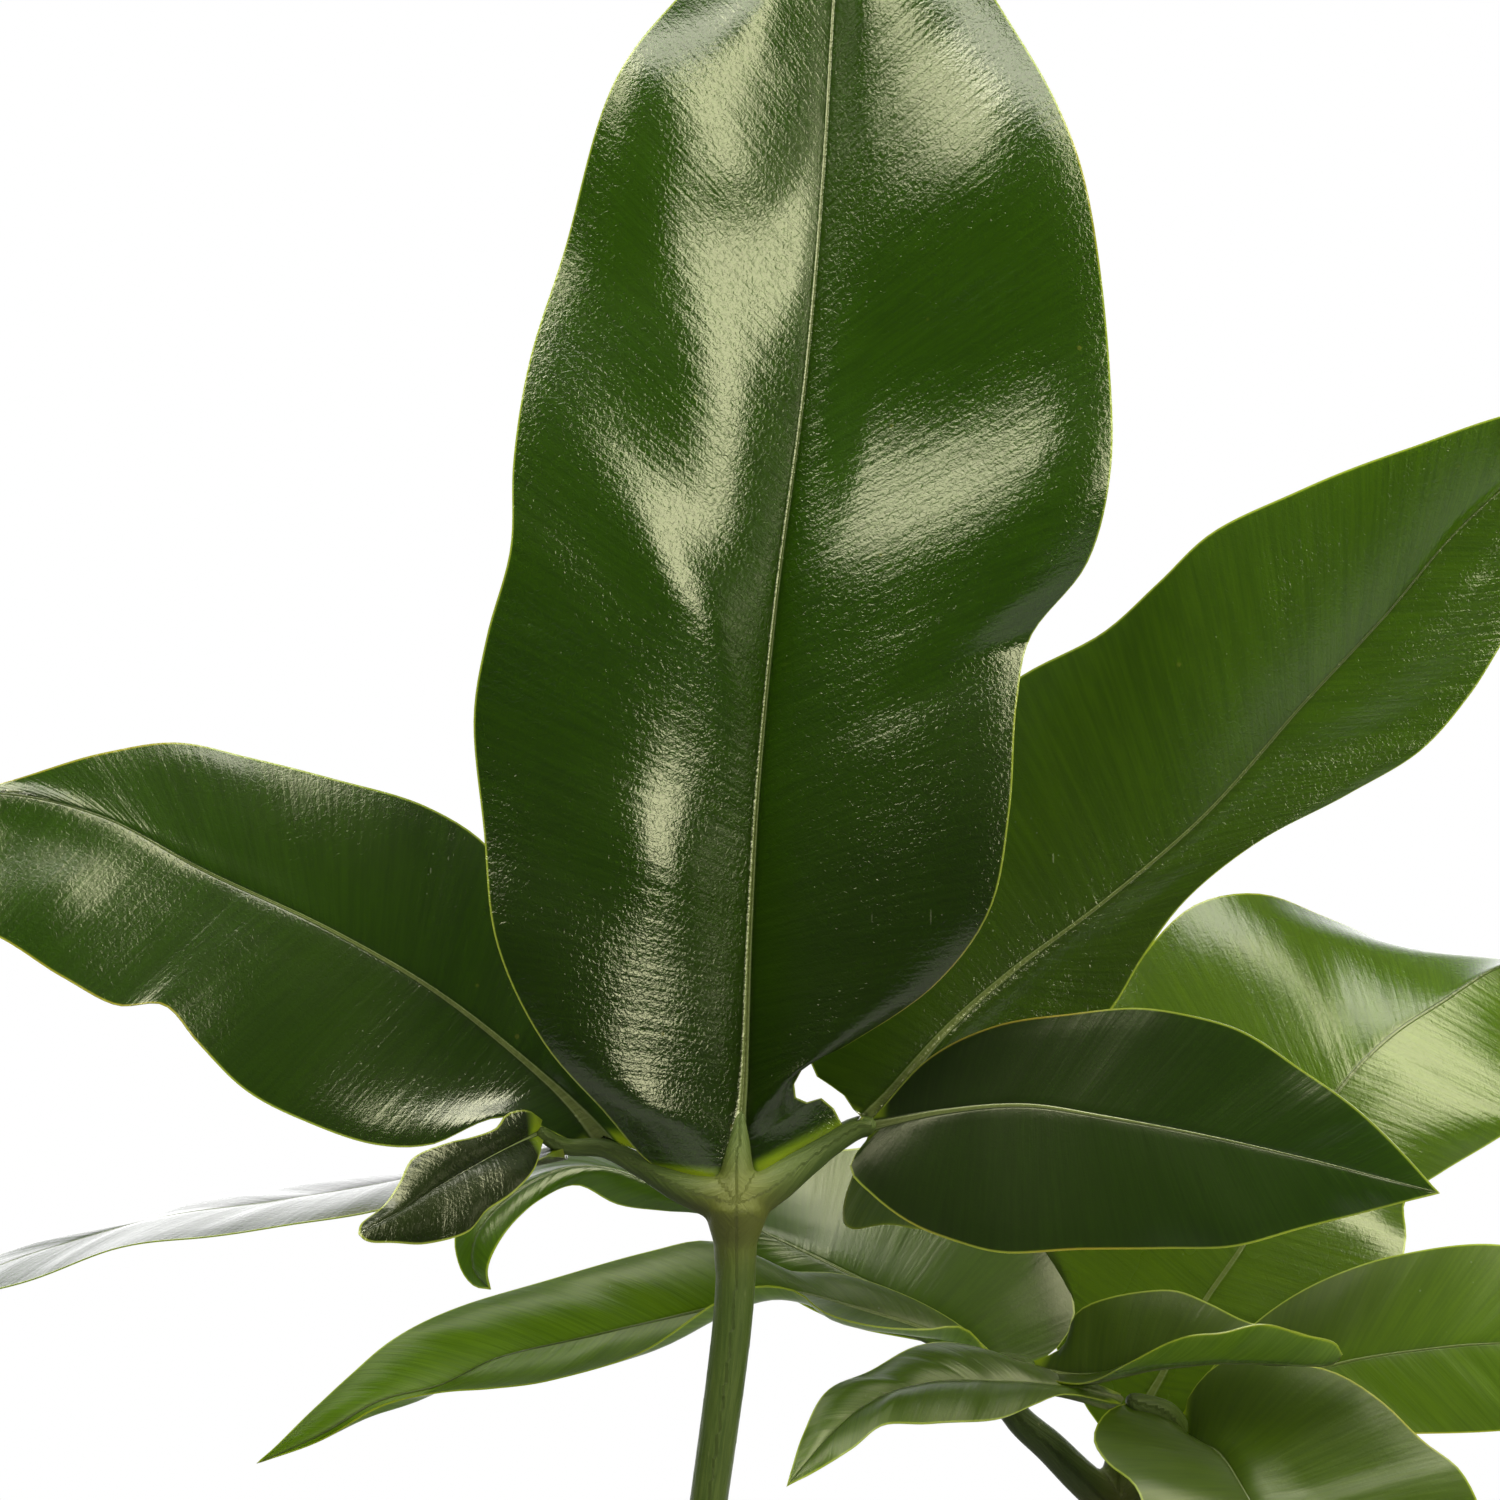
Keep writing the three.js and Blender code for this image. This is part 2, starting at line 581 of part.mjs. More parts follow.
// A leaflet grown from a few sizes: it leaves root along heading, arches over and droops at its tip
function grownLeaflet(root, heading, face, length, draw) {
  const sideways = heading.clone().cross(face).normalize();
  const droop = leastDroop + (mostDroop - leastDroop) * draw();
  const sway = 2 * mostSway * (draw() - 0.5);
  const place = (s, share, side) => {
    const width = share * leafletWidth * length;
    const on = length * (s * (1 - shortening * s) - edgeLag * share);
    const out = length * sway * s * s + side * width * Math.cos(troughAngle);
    const up = length * (leafletArch * s - (leafletArch + droop) * s * s);
    const raised = width * Math.sin(troughAngle) * (1 - 0.9 * s);
    const spot = root.clone().addScaledVector(heading, on).addScaledVector(sideways, out);
    return spot.addScaledVector(face, up + raised);
  };
  const last = widthShares.length - 1;
  const rib = widthShares.map((share, i) => place(i / last, 0, 0));
  const left = widthShares.map((share, i) => place(i / last, share, -1));
  const right = widthShares.map((share, i) => place(i / last, share, 1));
  return { rib, left, right, belly: [0.12, 0.12], wave: 1.6, waves: 2.5 + draw(), phase: draw() };
}

const grownStalkRadii = [3.6, 3.5, 3.1, 2.8, 2.6, 2.6];
const grownStalkSteps = 8;
const grownStalkSides = 6;

// A compound leaf grown from a few sizes: a fork at the end of its stalk, two arms that curve back, a long
// middle leaflet and pairs that get shorter towards the ends of the arms
function grownLeaf({ azimuth, reach, up, tilt, length, pairs, seed, foot }) {
  const draw = seeded(seed);
  const [inner, footZ] = foot;
  const away = point(Math.cos(radians(azimuth)), Math.sin(radians(azimuth)), 0);
  const fork = away.clone().multiplyScalar(reach).setZ(up);
  const heading = away.clone().multiplyScalar(Math.cos(radians(tilt))).setZ(Math.sin(radians(tilt)));
  const sideways = point(away.y, -away.x, 0);
  const face = sideways.clone().cross(heading).normalize();
  const place = (on, out) => fork.clone().addScaledVector(heading, on).addScaledVector(sideways, out);
  const stalk = smooth([
    away.clone().multiplyScalar(inner).setZ(footZ),
    away.clone().multiplyScalar(inner + 10).setZ(footZ + 30),
    away.clone().multiplyScalar(reach * 0.42 + 4).setZ(footZ + (up - footZ) * 0.55),
    away.clone().multiplyScalar(reach * 0.86).setZ(footZ + (up - footZ) * 0.96),
    fork,
  ]);
  const pieces = [bar(stalk, grownStalkRadii, grownStalkSteps, grownStalkSides)];
  const arms = [-1, 1].map((side) => ({
    side,
    curve: smooth([place(-3, 0), place(0, 6 * side), place(-5, 13 * side), place(-14, 16 * side)]),
  }));
  for (const { curve } of arms) pieces.push(bar(curve, [2.4, 2, 1.7, 1.4], 5, 5));
  // Each side leaflet's inner edge dips under its neighbour's outer edge
  const add = (root, turn, share) => {
    const turned = heading.clone().multiplyScalar(Math.cos(turn)).addScaledVector(sideways, Math.sin(turn));
    const roll = share < 1 ? -Math.sign(turn) * shingle : 0;
    const size = length * share * (0.94 + 0.12 * draw());
    const spec = grownLeaflet(root, turned, face.clone().applyAxisAngle(turned, roll), size, draw);
    pieces.push(blade(spec, share > 0.8 ? 7 : 5, plain.across));
  };
  add(fork, 0.1 * (draw() - 0.5), 1);
  for (const { side, curve } of arms)
    for (let k = 1; k <= pairs; k++) {
      const turn = side * (0.1 + k * 0.68 + 0.08 * (draw() - 0.5));
      add(curve.getPointAt(Math.min(0.3 + 0.33 * (k - 1), 0.98)), turn, 1.02 - 0.17 * k);
    }
  return { solid: oneBody(pieces), stalk };
}

// Azimuths and tilts in degrees, feet as [distance from the stem's axis, height]
const grown = [
  { name: "leaf_c", azimuth: 128, reach: 120, up: 392, tilt: -8,
    length: 162, pairs: 3, seed: 3, foot: [8, 194] },
  { name: "leaf_d", azimuth: 62, reach: 140, up: 350, tilt: -14,
    length: 158, pairs: 3, seed: 5, foot: [9, 184] },
  { name: "leaf_e", azimuth: 196, reach: 150, up: 340, tilt: -12,
    length: 164, pairs: 3, seed: 8, foot: [9, 186] },
  { name: "leaf_f", azimuth: -38, reach: 150, up: 330, tilt: -10,
    length: 140, pairs: 2, seed: 13, foot: [9, 178] },
  { name: "leaf_g", azimuth: -112, reach: 120, up: 290, tilt: -10,
    length: 130, pairs: 2, seed: 21, foot: [9, 170] },
];
const grownLeaves = grown.map((leaf) => ({ name: leaf.name, ...grownLeaf(leaf) }));

// The next leaf, still rolled into a spear
const spearCurve = smooth([point(-1, 1, 212), point(-2, 3, 260), point(-6, 9, 320), point(-9, 14, 372)]);
const spearRadii = [4, 4.2, 4.6, 4.4, 3.4, 2, 0.5];

// The stem, ringed where old leaves fell and rounded at its top, or with extra all round for its hole
function stemSolid(extra) {
  const rings = 10;
  const ringHeight = 0.9;
  const shoulder = 0.86; // where the rounding starts
  const profile = [new THREE.Vector2(0, stemFoot - extra)];
  for (let i = 0; i <= rings; i++) {
    const s = i / rings;
    const rounding = 1 - (0.35 * Math.max(0, s - shoulder)) / (1 - shoulder);
    const radius = (stemRadius + 3 - 3.5 * s) * rounding + ringHeight * (i % 2);
    const z = stemFoot + (stemTop - stemFoot) * s - (i === 0 ? extra : 0);
    profile.push(new THREE.Vector2(radius + extra, z));
  }
  profile.push(new THREE.Vector2(0, stemTop + 1 + extra));
  return solidOfGeometry(new THREE.LatheGeometry(profile, 12).rotateX(Math.PI / 2));
}

// Air roots come out of the stem low down, hang clear and run into the mix
function airRoot(k, extra) {
  const turn = radians(40 + k * 97);
  const away = point(Math.cos(turn), Math.sin(turn), 0);
  const place = (out, z) => away.clone().multiplyScalar(out).setZ(z);
  const spread = 26 + 5 * Math.sin(k * 2.3);
  const top = 196 - 2 * k;
  const route = [place(8, top), place(spread - 6, top - 6), place(spread, mixTop), place(spread + 3, 146)];
  const radii = [airRootRadius, airRootRadius, airRootRadius * 0.9, airRootRadius * 0.8];
  return bar(smooth(route), radii, 6, 6, extra);
}

function rootedStem(extra) {
  const roots = Array.from({ length: airRoots }, (_, k) => airRoot(k, extra));
  return union([stemSolid(extra), ...roots]);
}

const potSlope = (potTopRadius - potBaseRadius) / potHeight;
const potOuter = (z) => potBaseRadius + potSlope * z;

// Small hills and hollows on the top of the mix
function crumble(x, y) {
  return 1.2 * Math.sin(0.31 * x + 1) * Math.cos(0.27 * y) + 0.8 * Math.sin(0.83 * x + 0.71 * y);
}

// The mix fills the pot to below its rim, a little lower all round its edge, with a crumbly top
function mixSolid() {
  const rings = 5;
  const edgeDrop = 2;
  const radiusAt = (z) => potOuter(z) - potWall - gap;
  const low = potFloor + gap;
  const onCircle = (radius, k) => {
    const turn = (2 * Math.PI * k) / potSides - Math.PI / 2;
    return [radius * Math.cos(turn), radius * Math.sin(turn)];
  };
  const points = [point(0, 0, mixTop)];
  for (let r = 1; r <= rings; r++)
    for (let k = 0; k < potSides; k++) {
      const share = r / rings;
      const [x, y] = onCircle(radiusAt(mixTop - edgeDrop) * share, k);
      const rough = r < rings ? crumble(x, y) : 0;
      points.push(point(x, y, mixTop + rough - edgeDrop * share * share));
    }
  const base = points.length;
  for (let k = 0; k < potSides; k++) points.push(point(...onCircle(radiusAt(low), k), low));
  const centre = points.push(point(0, 0, low)) - 1;
  const at = (r, k) => 1 + (r - 1) * potSides + (k % potSides);
  const triangles = [];
  for (let k = 0; k < potSides; k++) {
    triangles.push(0, at(1, k), at(1, k + 1));
    for (let r = 1; r < rings; r++) {
      triangles.push(at(r, k), at(r + 1, k), at(r + 1, k + 1));
      triangles.push(at(r, k), at(r + 1, k + 1), at(r, k + 1));
    }
    const [a, b] = [base + k, base + ((k + 1) % potSides)];
    triangles.push(at(rings, k), a, b, at(rings, k), b, at(rings, k + 1), centre, b, a);
  }
  return solidOf(points, triangles);
}

// The pot: a tapered wall, a turned-out rim and a floor with a ring of drain holes
function potSolid() {
  const rimLow = potHeight - rimHeight;
  const profile = [
    [0, 0],
    [potBaseRadius - 2, 0],
    [potOuter(2), 2],
    [potOuter(rimLow - 1), rimLow - 1],
    [potOuter(rimLow) + rimOverhang - 1.2, rimLow],
    [potOuter(rimLow) + rimOverhang, rimLow + 1.2],
    [potOuter(potHeight) + rimOverhang, potHeight - 1.4],
    [potOuter(potHeight) + rimOverhang - 1.4, potHeight],
    [potOuter(potHeight) - potWall + 0.8, potHeight],
    [potOuter(potHeight) - potWall, potHeight - 1],
    [potOuter(potFloor) - potWall, potFloor],
    [0, potFloor],
  ];
  const outline = profile.map(([r, z]) => new THREE.Vector2(r, z));
  const shell = new THREE.LatheGeometry(outline, potSides).rotateX(Math.PI / 2);
  const holes = Array.from({ length: drainHoles }, (_, k) => {
    const turn = (2 * Math.PI * k) / drainHoles;
    const hole = new THREE.CylinderGeometry(drainRadius, drainRadius, 4 * potFloor, 10);
    const place = [drainCircle * Math.cos(turn), drainCircle * Math.sin(turn), 0];
    return solidOfGeometry(hole.rotateX(Math.PI / 2).translate(...place));
  });
  return solidOfGeometry(shell).subtract(union(holes));
}

const stalks = [stalkA, stalkB].map((curve) => [curve, stalkRadii, stalkSteps, stalkSides]);
const grownShape = [grownStalkRadii, grownStalkSteps, grownStalkSides];
const grownStalks = grownLeaves.map(({ stalk }) => [stalk, ...grownShape]);
const spear = [spearCurve, spearRadii, 12, 8];
const sockets = union([...stalks, ...grownStalks, spear].map((shape) => bar(...shape, gap)));

const plant = new THREE.Group();
plant.add(
  meshOf("pot", potSolid(), colour.pot, 0.6),
  meshOf("potting_mix", mixSolid().subtract(rootedStem(gap)), colour.mix, 1),
  meshOf("stem", rootedStem(0).subtract(sockets), colour.stem, 0.7),
  meshOf("leaf_a", measuredLeaf(leafA, armsA, atForkA, stalkA), colour.leaf, 0.3),
  meshOf("leaf_b", measuredLeaf(leafB, armsB, atForkB, stalkB), colour.leaf, 0.3),
  ...grownLeaves.map(({ name, solid }) => meshOf(name, solid, colour.leaf, 0.3)),
  meshOf("rolled_leaf", bar(...spear), colour.youngLeaf, 0.4),
);

export default plant;
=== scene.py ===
import math

import bpy
import numpy as np
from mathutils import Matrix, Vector
from mathutils.kdtree import KDTree


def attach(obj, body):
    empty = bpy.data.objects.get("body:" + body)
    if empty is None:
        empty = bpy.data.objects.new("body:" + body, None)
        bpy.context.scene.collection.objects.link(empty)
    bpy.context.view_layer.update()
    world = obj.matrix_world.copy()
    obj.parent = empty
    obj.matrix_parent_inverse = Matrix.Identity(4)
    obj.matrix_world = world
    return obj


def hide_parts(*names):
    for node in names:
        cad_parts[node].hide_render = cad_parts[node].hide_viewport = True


# A small split-leaf philodendron in its nursery pot. Its lengths are in millimetres here, and every mesh is
# made in metres. The lights and the floor are placed in metres.
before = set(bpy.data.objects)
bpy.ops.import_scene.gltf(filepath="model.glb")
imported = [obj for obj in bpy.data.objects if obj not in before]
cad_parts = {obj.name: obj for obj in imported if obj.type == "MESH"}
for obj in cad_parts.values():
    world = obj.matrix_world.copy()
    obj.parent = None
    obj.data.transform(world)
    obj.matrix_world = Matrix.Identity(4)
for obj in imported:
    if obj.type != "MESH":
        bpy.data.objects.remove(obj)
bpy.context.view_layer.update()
MM = 0.001

# The leaves' driving dimensions
FORK_A = np.array([40.0, -60.0, 530.0])
MEASURING_POINT = np.array([42.0, -1560.0, 595.0])
AT_FORK_A = (0, 0)
AT_FORK_B = (56, -44)
VEIN_LEAN = 0.5
RIB_DEPTHS = [2.0, 1.2, 0.8, 0.5, 0.2]
SIDES = ("left", "right")
SIDE_SHIFT = 0.4
BLADE = 0.5
MARGIN = 0.22
MARGIN_WIDTH = 4
FAR_FROM_MARGIN = 9
BIG_LEAFLET = 209

# The pot, the mix and the stem
POT_HEIGHT = 190
POT_BASE_RADIUS = 74
POT_TOP_RADIUS = 98
POT_WALL = 1.8
POT_FLOOR = 2.6
RIM_HEIGHT = 18
RIM_OVERHANG = 5
DRAIN_HOLES = 5
DRAIN_RADIUS = 5.5
DRAIN_CIRCLE = 46
MIX_TOP = 171
MIX_GAP = 0.3
MIX_EDGE_DROP = 2
MIX_SEED = 7
STEM_FOOT = 118
STEM_TOP = 226
STEM_RADIUS = 15
LEAF_SCARS = 9
AIR_ROOTS = 4
AIR_ROOT_RADIUS = 2.6

# Camera and studio light. A softbox has its azimuth to the right of the camera's side, its elevation, its
# distance from the point that it lights, its two sizes, its radiance and its colour.
LENS = 240
SENSOR_WIDTH = 36
LIT_POINT = Vector((0.045, -0.05, 0.64))
SOFTBOXES = {
    "softbox_right": (45, 30, 1.8, (0.83, 1.9), 11.0, (1, 0.985, 0.60)),
    "softbox_left": (-53, 52, 1.8, (1.1, 1.25), 9.5, (1, 0.985, 0.62)),
    "overhead": (0, 77, 1.6, (1.36, 0.92), 7.5, (1, 0.99, 0.78)),
}
BACKDROP_RISES_OVER = (0.35, 0.9)
BACKDROP_STRENGTHS = (0.05, 2.6)
FLOOR_RADIUS = 2.5
FLOOR_FADES_OVER = (0.9, 2.4)


class Curve:
    """A centripetal Catmull-Rom curve through points, read by shares of its length."""

    samples_per_span = 40
    look_ahead = 0.004

    def __init__(self, points):
        p = np.asarray(points, float)
        p = np.vstack([2 * p[0] - p[1], p, 2 * p[-1] - p[-2]])
        t = np.linspace(0, 1, self.samples_per_span, endpoint=False)[:, None]
        samples = []
        for p0, p1, p2, p3 in zip(p, p[1:], p[2:], p[3:]):
            d0, d1, d2 = (np.linalg.norm(b - a) ** 0.5 for a, b in ((p0, p1), (p1, p2), (p2, p3)))
            m1 = ((p1 - p0) / d0 - (p2 - p0) / (d0 + d1) + (p2 - p1) / d1) * d1
            m2 = ((p2 - p1) / d1 - (p3 - p1) / (d1 + d2) + (p3 - p2) / d2) * d1
            c2 = -3 * p1 + 3 * p2 - 2 * m1 - m2
            c3 = 2 * p1 - 2 * p2 + m1 + m2
            samples.append(p1 + m1 * t + c2 * t**2 + c3 * t**3)
        self.samples = np.vstack([*samples, p[-2]])
        steps = np.linalg.norm(np.diff(self.samples, axis=0), axis=1)
        self.places = np.concatenate([[0], np.cumsum(steps)])
        self.length = self.places[-1]

    def at(self, share):
        places = np.clip(share, 0, 1) * self.length
        return np.stack([np.interp(places, self.places, self.samples[:, k]) for k in range(3)], -1)

    def heading(self, share):
        share = np.asarray(share, float)
        ahead = self.at(share + self.look_ahead) - self.at(share - self.look_ahead)
        return ahead / np.linalg.norm(ahead, axis=-1, keepdims=True)


def from_front(points, origin):
    """Places of points [across, depth, up] from a fork, as they look from the measuring point."""
    p = np.asarray(points, float)
    flat = FORK_A + np.stack([origin[0] + p[:, 0], 0 * p[:, 0], origin[1] + p[:, 2]], -1)
    distance = FORK_A[1] - MEASURING_POINT[1]
    return MEASURING_POINT + (flat - MEASURING_POINT) * ((distance + p[:, 1]) / distance)[:, None]


def along(values, share):
    return np.interp(share, np.linspace(0, 1, len(values)), values)


def smoothstep(low, high, x):
    t = np.clip((x - low) / (high - low), 0, 1)
    return t * t * (3 - 2 * t)


def full_turn(sides):
    return np.linspace(0, 2 * np.pi, sides, endpoint=False)


def seeded(seed):
    """The draws that the solid leaves were grown with."""
    state = [seed]

    def draw():
        state[0] = (state[0] + 0x6D2B79F5) & 0xFFFFFFFF
        t = state[0]
        t = ((t ^ (t >> 15)) * (1 | t)) & 0xFFFFFFFF
        t = ((t + (((t ^ (t >> 7)) * (61 | t)) & 0xFFFFFFFF)) ^ t) & 0xFFFFFFFF
        return (t ^ (t >> 14)) / 4294967296

    return draw


class Shape:
    """Gathers points, faces and the numbers that materials read, and makes one mesh of them."""

    kinds = ("across", "station", "rib", "rim", "tone", "dull", "seed")

    def __init__(self):
        self.points, self.faces, self.materials = [], [], []
        self.numbers = {kind: [] for kind in self.kinds}
        self.count = 0

    def add(self, points, faces, material, **numbers):
        self.points.append(points)
        self.faces += [tuple(int(i) + self.count for i in face) for face in faces]
        self.materials += list(np.broadcast_to(material, len(faces)))
        for kind in self.kinds:
            self.numbers[kind].append(np.broadcast_to(numbers.get(kind, 0.0), len(points)))
        self.count += len(points)

    def make(self, name, materials):
        mesh = bpy.data.meshes.new(name)
        mesh.from_pydata((np.vstack(self.points) * MM).tolist(), [], self.faces)
        mesh.polygons.foreach_set("material_index", np.array(self.materials, np.int32))
        mesh.polygons.foreach_set("use_smooth", np.ones(len(self.faces), bool))
        for kind in self.kinds:
            attribute = mesh.attributes.new(kind, "FLOAT", "POINT")
            attribute.data.foreach_set("value", np.concatenate(self.numbers[kind]).astype(np.float32))
        for material in materials:
            mesh.materials.append(material)
        return add_object(name, mesh)


def add_object(name, data):
    made = bpy.data.objects.new(name, data)
    bpy.context.scene.collection.objects.link(made)
    return made


def grid_faces(rows, columns, around=False):
    """Quads of a grid of points, listed row by row. The last column meets the first if it goes around."""
    i, j = np.meshgrid(np.arange(rows - 1), np.arange(columns if around else columns - 1), indexing="ij")
    k = (j + 1) % columns
    quads = [i * columns + j, i * columns + k, (i + 1) * columns + k, (i + 1) * columns + j]
    return np.stack([q.ravel() for q in quads], 1)


def round_faces(rings, sides):
    """Faces of a closed round form whose points are its rings and then the middles of its two ends."""
    last = rings * sides
    ends = [(last, (j + 1) % sides, j) for j in range(sides)]
    ends += [(last + 1, last - sides + j, last - sides + (j + 1) % sides) for j in range(sides)]
    return [*grid_faces(rings, sides, around=True), *ends]


# The leaflets of leaf A, the tall leaf in front. Each has its rib, its two edges and the tip where they
# meet, as points [across, depth, up] from the fork. A swell of a blade has its place along the rib and
# across the half, its half-length and half-width, all as shares, its height, and its lean along the veins.
LEAF_A = {
    "middle": dict(
        rows=150, columns=26, belly=[0.13, 0.12], waves=3.5, quilt=0.12, tip=[17, 38, 208],
        rib=[[0, 0, 0], [1, 2, 13], [2, 4, 38], [3.3, 5, 61], [6, 7, 88], [10.4, 11, 121], [13, 17, 151],
             [14.6, 25, 178]],
        left=[[-10.5, 0.4, 1.2], [-14.5, -1, 4.3], [-20, -4, 10.5], [-29, -7, 21], [-36, -8, 36],
              [-38, -5, 53], [-39.5, -3, 70], [-37.5, -4, 82], [-34, -5, 95], [-33.5, -2, 108],
              [-31, 1, 124], [-26, 6, 140], [-18.5, 14, 163], [-8, 23, 178], [4, 32, 196]],
        right=[[16.4, 1.6, 6.6], [15, 1.4, 10.6], [12.4, 1, 12.8], [10.4, 0.2, 12], [8.4, -1.6, 13.4],
               [9.6, -3, 16.8], [17, -5, 21], [30, -9, 30], [38, -11, 41], [41, -9, 56], [42, -4, 72],
               [44, 0, 82], [52.5, -2, 93], [56, -4, 106], [56, -2, 122], [52.5, 5, 149], [48, 11, 161],
               [38, 22, 178], [28, 31, 195]],
        left_swells=[(0.03, 0.7, 0.05, 0.5, 4, 0.05), (0.2, 0.35, 0.05, 0.25, 2.3, 0),
                     (0.37, 0.4, 0.04, 0.4, 2.7, 0.05), (0.4, 0.6, 0.15, 0.35, -2.8, -0.05),
                     (0.58, 0.9, 0.09, 0.8, 2.4, 0.15), (0.6, 0.35, 0.06, 0.55, -2.6, -0.2),
                     (0.67, 0.95, 0.07, 0.7, 3, 0), (0.75, 0.6, 0.05, 0.25, 2.4, -0.1)],
        right_swells=[(0.07, 0.8, 0.06, 0.5, 2.5, 0), (0.3, 0.5, 0.05, 0.4, 2, 0),
                      (0.4, 1, 0.08, 0.35, 4.5, -0.05), (0.43, 0.5, 0.12, 0.3, -2, -0.05),
                      (0.48, 0.6, 0.09, 0.8, -6, -0.08), (0.64, 1, 0.1, 0.5, 5, 0),
                      (0.8, 0.6, 0.12, 0.5, 2.5, -0.1)],
    ),
    "left1": dict(
        rows=100, columns=20, dull=0.5, belly=[0.02, 0.06], quilt=0.2, tip=[-142, 2, 49],
        rib=[[-20, 2, 7], [-28, 5, 15], [-44, 9, 28], [-60, 12, 37.5], [-80, 14, 47], [-95, 14, 55],
             [-110, 12, 58.5], [-126, 8, 57]],
        left=[[-22, 2, 5], [-35, 3, 9.5], [-46, 4, 5], [-54, 5, 5.2], [-65, 5, 9.5], [-74, 5, 14.5],
              [-81, 5, 21.5], [-86, 5, 27], [-93, 5, 27], [-101, 4, 31.5], [-110, 4, 37], [-127, 3, 43]],
        right=[[-13, 2, 4.2], [-20, 6, 20], [-30, 12, 38], [-37, 14, 50], [-46, 16, 56], [-60, 17, 60.5],
               [-73, 18, 64.3], [-84, 18, 66.5], [-95, 17, 64.5], [-110, 14, 60], [-128, 9, 57]],
        left_swells=[(0.17, 0.9, 0.06, 0.4, 1.6, 0), (0.4, 1, 0.14, 0.7, -2.4, 0),
                     (0.62, 0.65, 0.05, 0.3, 1, 0), (0.72, 0.5, 0.12, 0.55, -1.3, 0),
                     (0.15, 1, 0.1, 0.4, 2, 0)],
        right_swells=[(0.15, 0.7, 0.05, 0.6, 1.6, 0.15), (0.53, 0.55, 0.12, 0.55, -1.3, 0.1),
                      (0.76, 0.55, 0.05, 0.4, -1, 0)],
    ),
    "left2": dict(
        rows=50, columns=12, dull=0.35, wave=0.3, quilt=0, rib_size=0.14, tip=[-56.8, -28, -7.6],
        rib=[[-30, 0, 7.5], [-36, -6, 4.5], [-44, -14, 0], [-51, -22, -4.5]],
        left=[[-29, 0, 6.5], [-30.5, -4, 2], [-34, -9, -1.8], [-37.6, -12, -4.2], [-40.5, -15, -7.4],
              [-46.5, -20, -9], [-52.5, -25, -9], [-55.6, -27.5, -8.6]],
        right=[[-29.2, 0, 9.5], [-31.5, -2, 11], [-34.5, -4, 10.4], [-36, -6, 8.4], [-40, -9, 6.8],
               [-43.5, -12, 6], [-48.5, -16, 3.8], [-50.8, -19, 0], [-53, -22, -3.4], [-56.4, -26, -6.2]],
    ),
    "left3": dict(
        rows=70, columns=12, dull=0.4, belly=[0.02, 0.02], wave=0.6, tip=[-133, 6, -24],
        rib=[[-26, 2, 5.6], [-40, 6, 2.5], [-55, 8, -0.5], [-70, 9, -3], [-85, 10, -5], [-100, 10, -9],
             [-113, 9, -13.5]],
        left=[[-26, 0.8, 5], [-40, -4, -0.5], [-54, -8, -4], [-67, -10, -5.8], [-80, -10, -8.5],
              [-95, -8, -10.4], [-110, -4, -15.5]],
        right=[[-26, 3.4, 6], [-40, 16, 4], [-55, 22, 1.2], [-70, 25, -1.4], [-84, 25, -3], [-94, 23, -7.5],
               [-110, 18, -11]],
    ),
    "right1": dict(
        rows=110, columns=20, dull=0.35, belly=[0.04, 0.03], quilt=0.2, tip=[138, 30, 119],
        rib=[[19.5, 2.4, 8.8], [31, 7, 22.5], [41, 10, 31.5], [55, 13, 42], [70, 15, 55], [85, 17, 72],
             [97, 18, 85], [108, 20, 98], [122, 24, 110]],
        left=[[19.4, 2.6, 9.6], [17, 4, 11.6], [15.6, 5, 13.8], [12, 6.5, 16], [10.5, 10, 24], [15, 15, 38],
              [24, 19, 56], [34, 20, 69], [42.5, 19, 76], [54.8, 17, 82.5], [63, 15, 90], [71, 14, 97.5],
              [85, 12, 104], [100, 13, 110], [115, 17, 115.5]],
        right=[[21, 2.4, 8.4], [36, 9, 14], [48, 12, 19.5], [56, 13, 26], [61, 14, 34], [67, 15, 42],
               [78, 16, 51], [92, 17, 58.5], [103, 18, 65], [110, 20, 73], [116, 22, 83], [128, 26, 101]],
        left_swells=[(0.5, 0.55, 0.08, 0.5, 1, 0), (0.83, 0.5, 0.09, 0.5, 1.5, 0.05)],
        right_swells=[(0.18, 0.5, 0.14, 0.4, -1.9, 0.1), (0.54, 0.75, 0.1, 0.7, -1.6, 0.2),
                      (0.78, 0.45, 0.12, 0.3, 1.7, 0)],
    ),
    "right2": dict(
        rows=80, columns=18, dull=0.85, belly=[0, 0.02], wave=0.8, quilt=0.15, tip=[105.5, -28, -1.5],
        rib=[[20.5, 2, 8.4], [31, -2, 10.7], [43, -6, 11.7], [55, -11, 10], [70, -16, 7.2], [85, -21, 3.8]],
        left=[[20.3, 2, 9.6], [29, 0, 18.8], [39, -3, 23.7], [50, -7, 25.5], [60, -10, 26.3], [69, -14, 25],
              [76, -17, 22.8], [84, -20, 17.5], [94, -24, 10.5]],
        right=[[20, 2, 7.2], [17, 1, 2.2], [20, -1, -1.5], [26, -3, -6], [33, -5, -8.8], [40, -8, -10.5],
               [52, -12, -10], [64, -16, -9.8], [75, -19, -9.5], [86, -22, -6.5]],
    ),
    "right3": dict(
        rows=50, columns=12, dull=0.7, wave=0.6, tip=[42, 42, -5],
        rib=[[20.8, 2.2, 7.8], [23, 12, 3], [28, 22, 0], [35, 33, -2]],
        left=[[19.6, 2.8, 6.8], [16, 10, -4], [17, 18, -6.5], [25, 29, -6.5], [34, 38, -6]],
        right=[[22.2, 2.8, 7.6], [32, 12, 5], [40, 22, 3], [44, 32, 0], [44, 38, -3]],
    ),
}

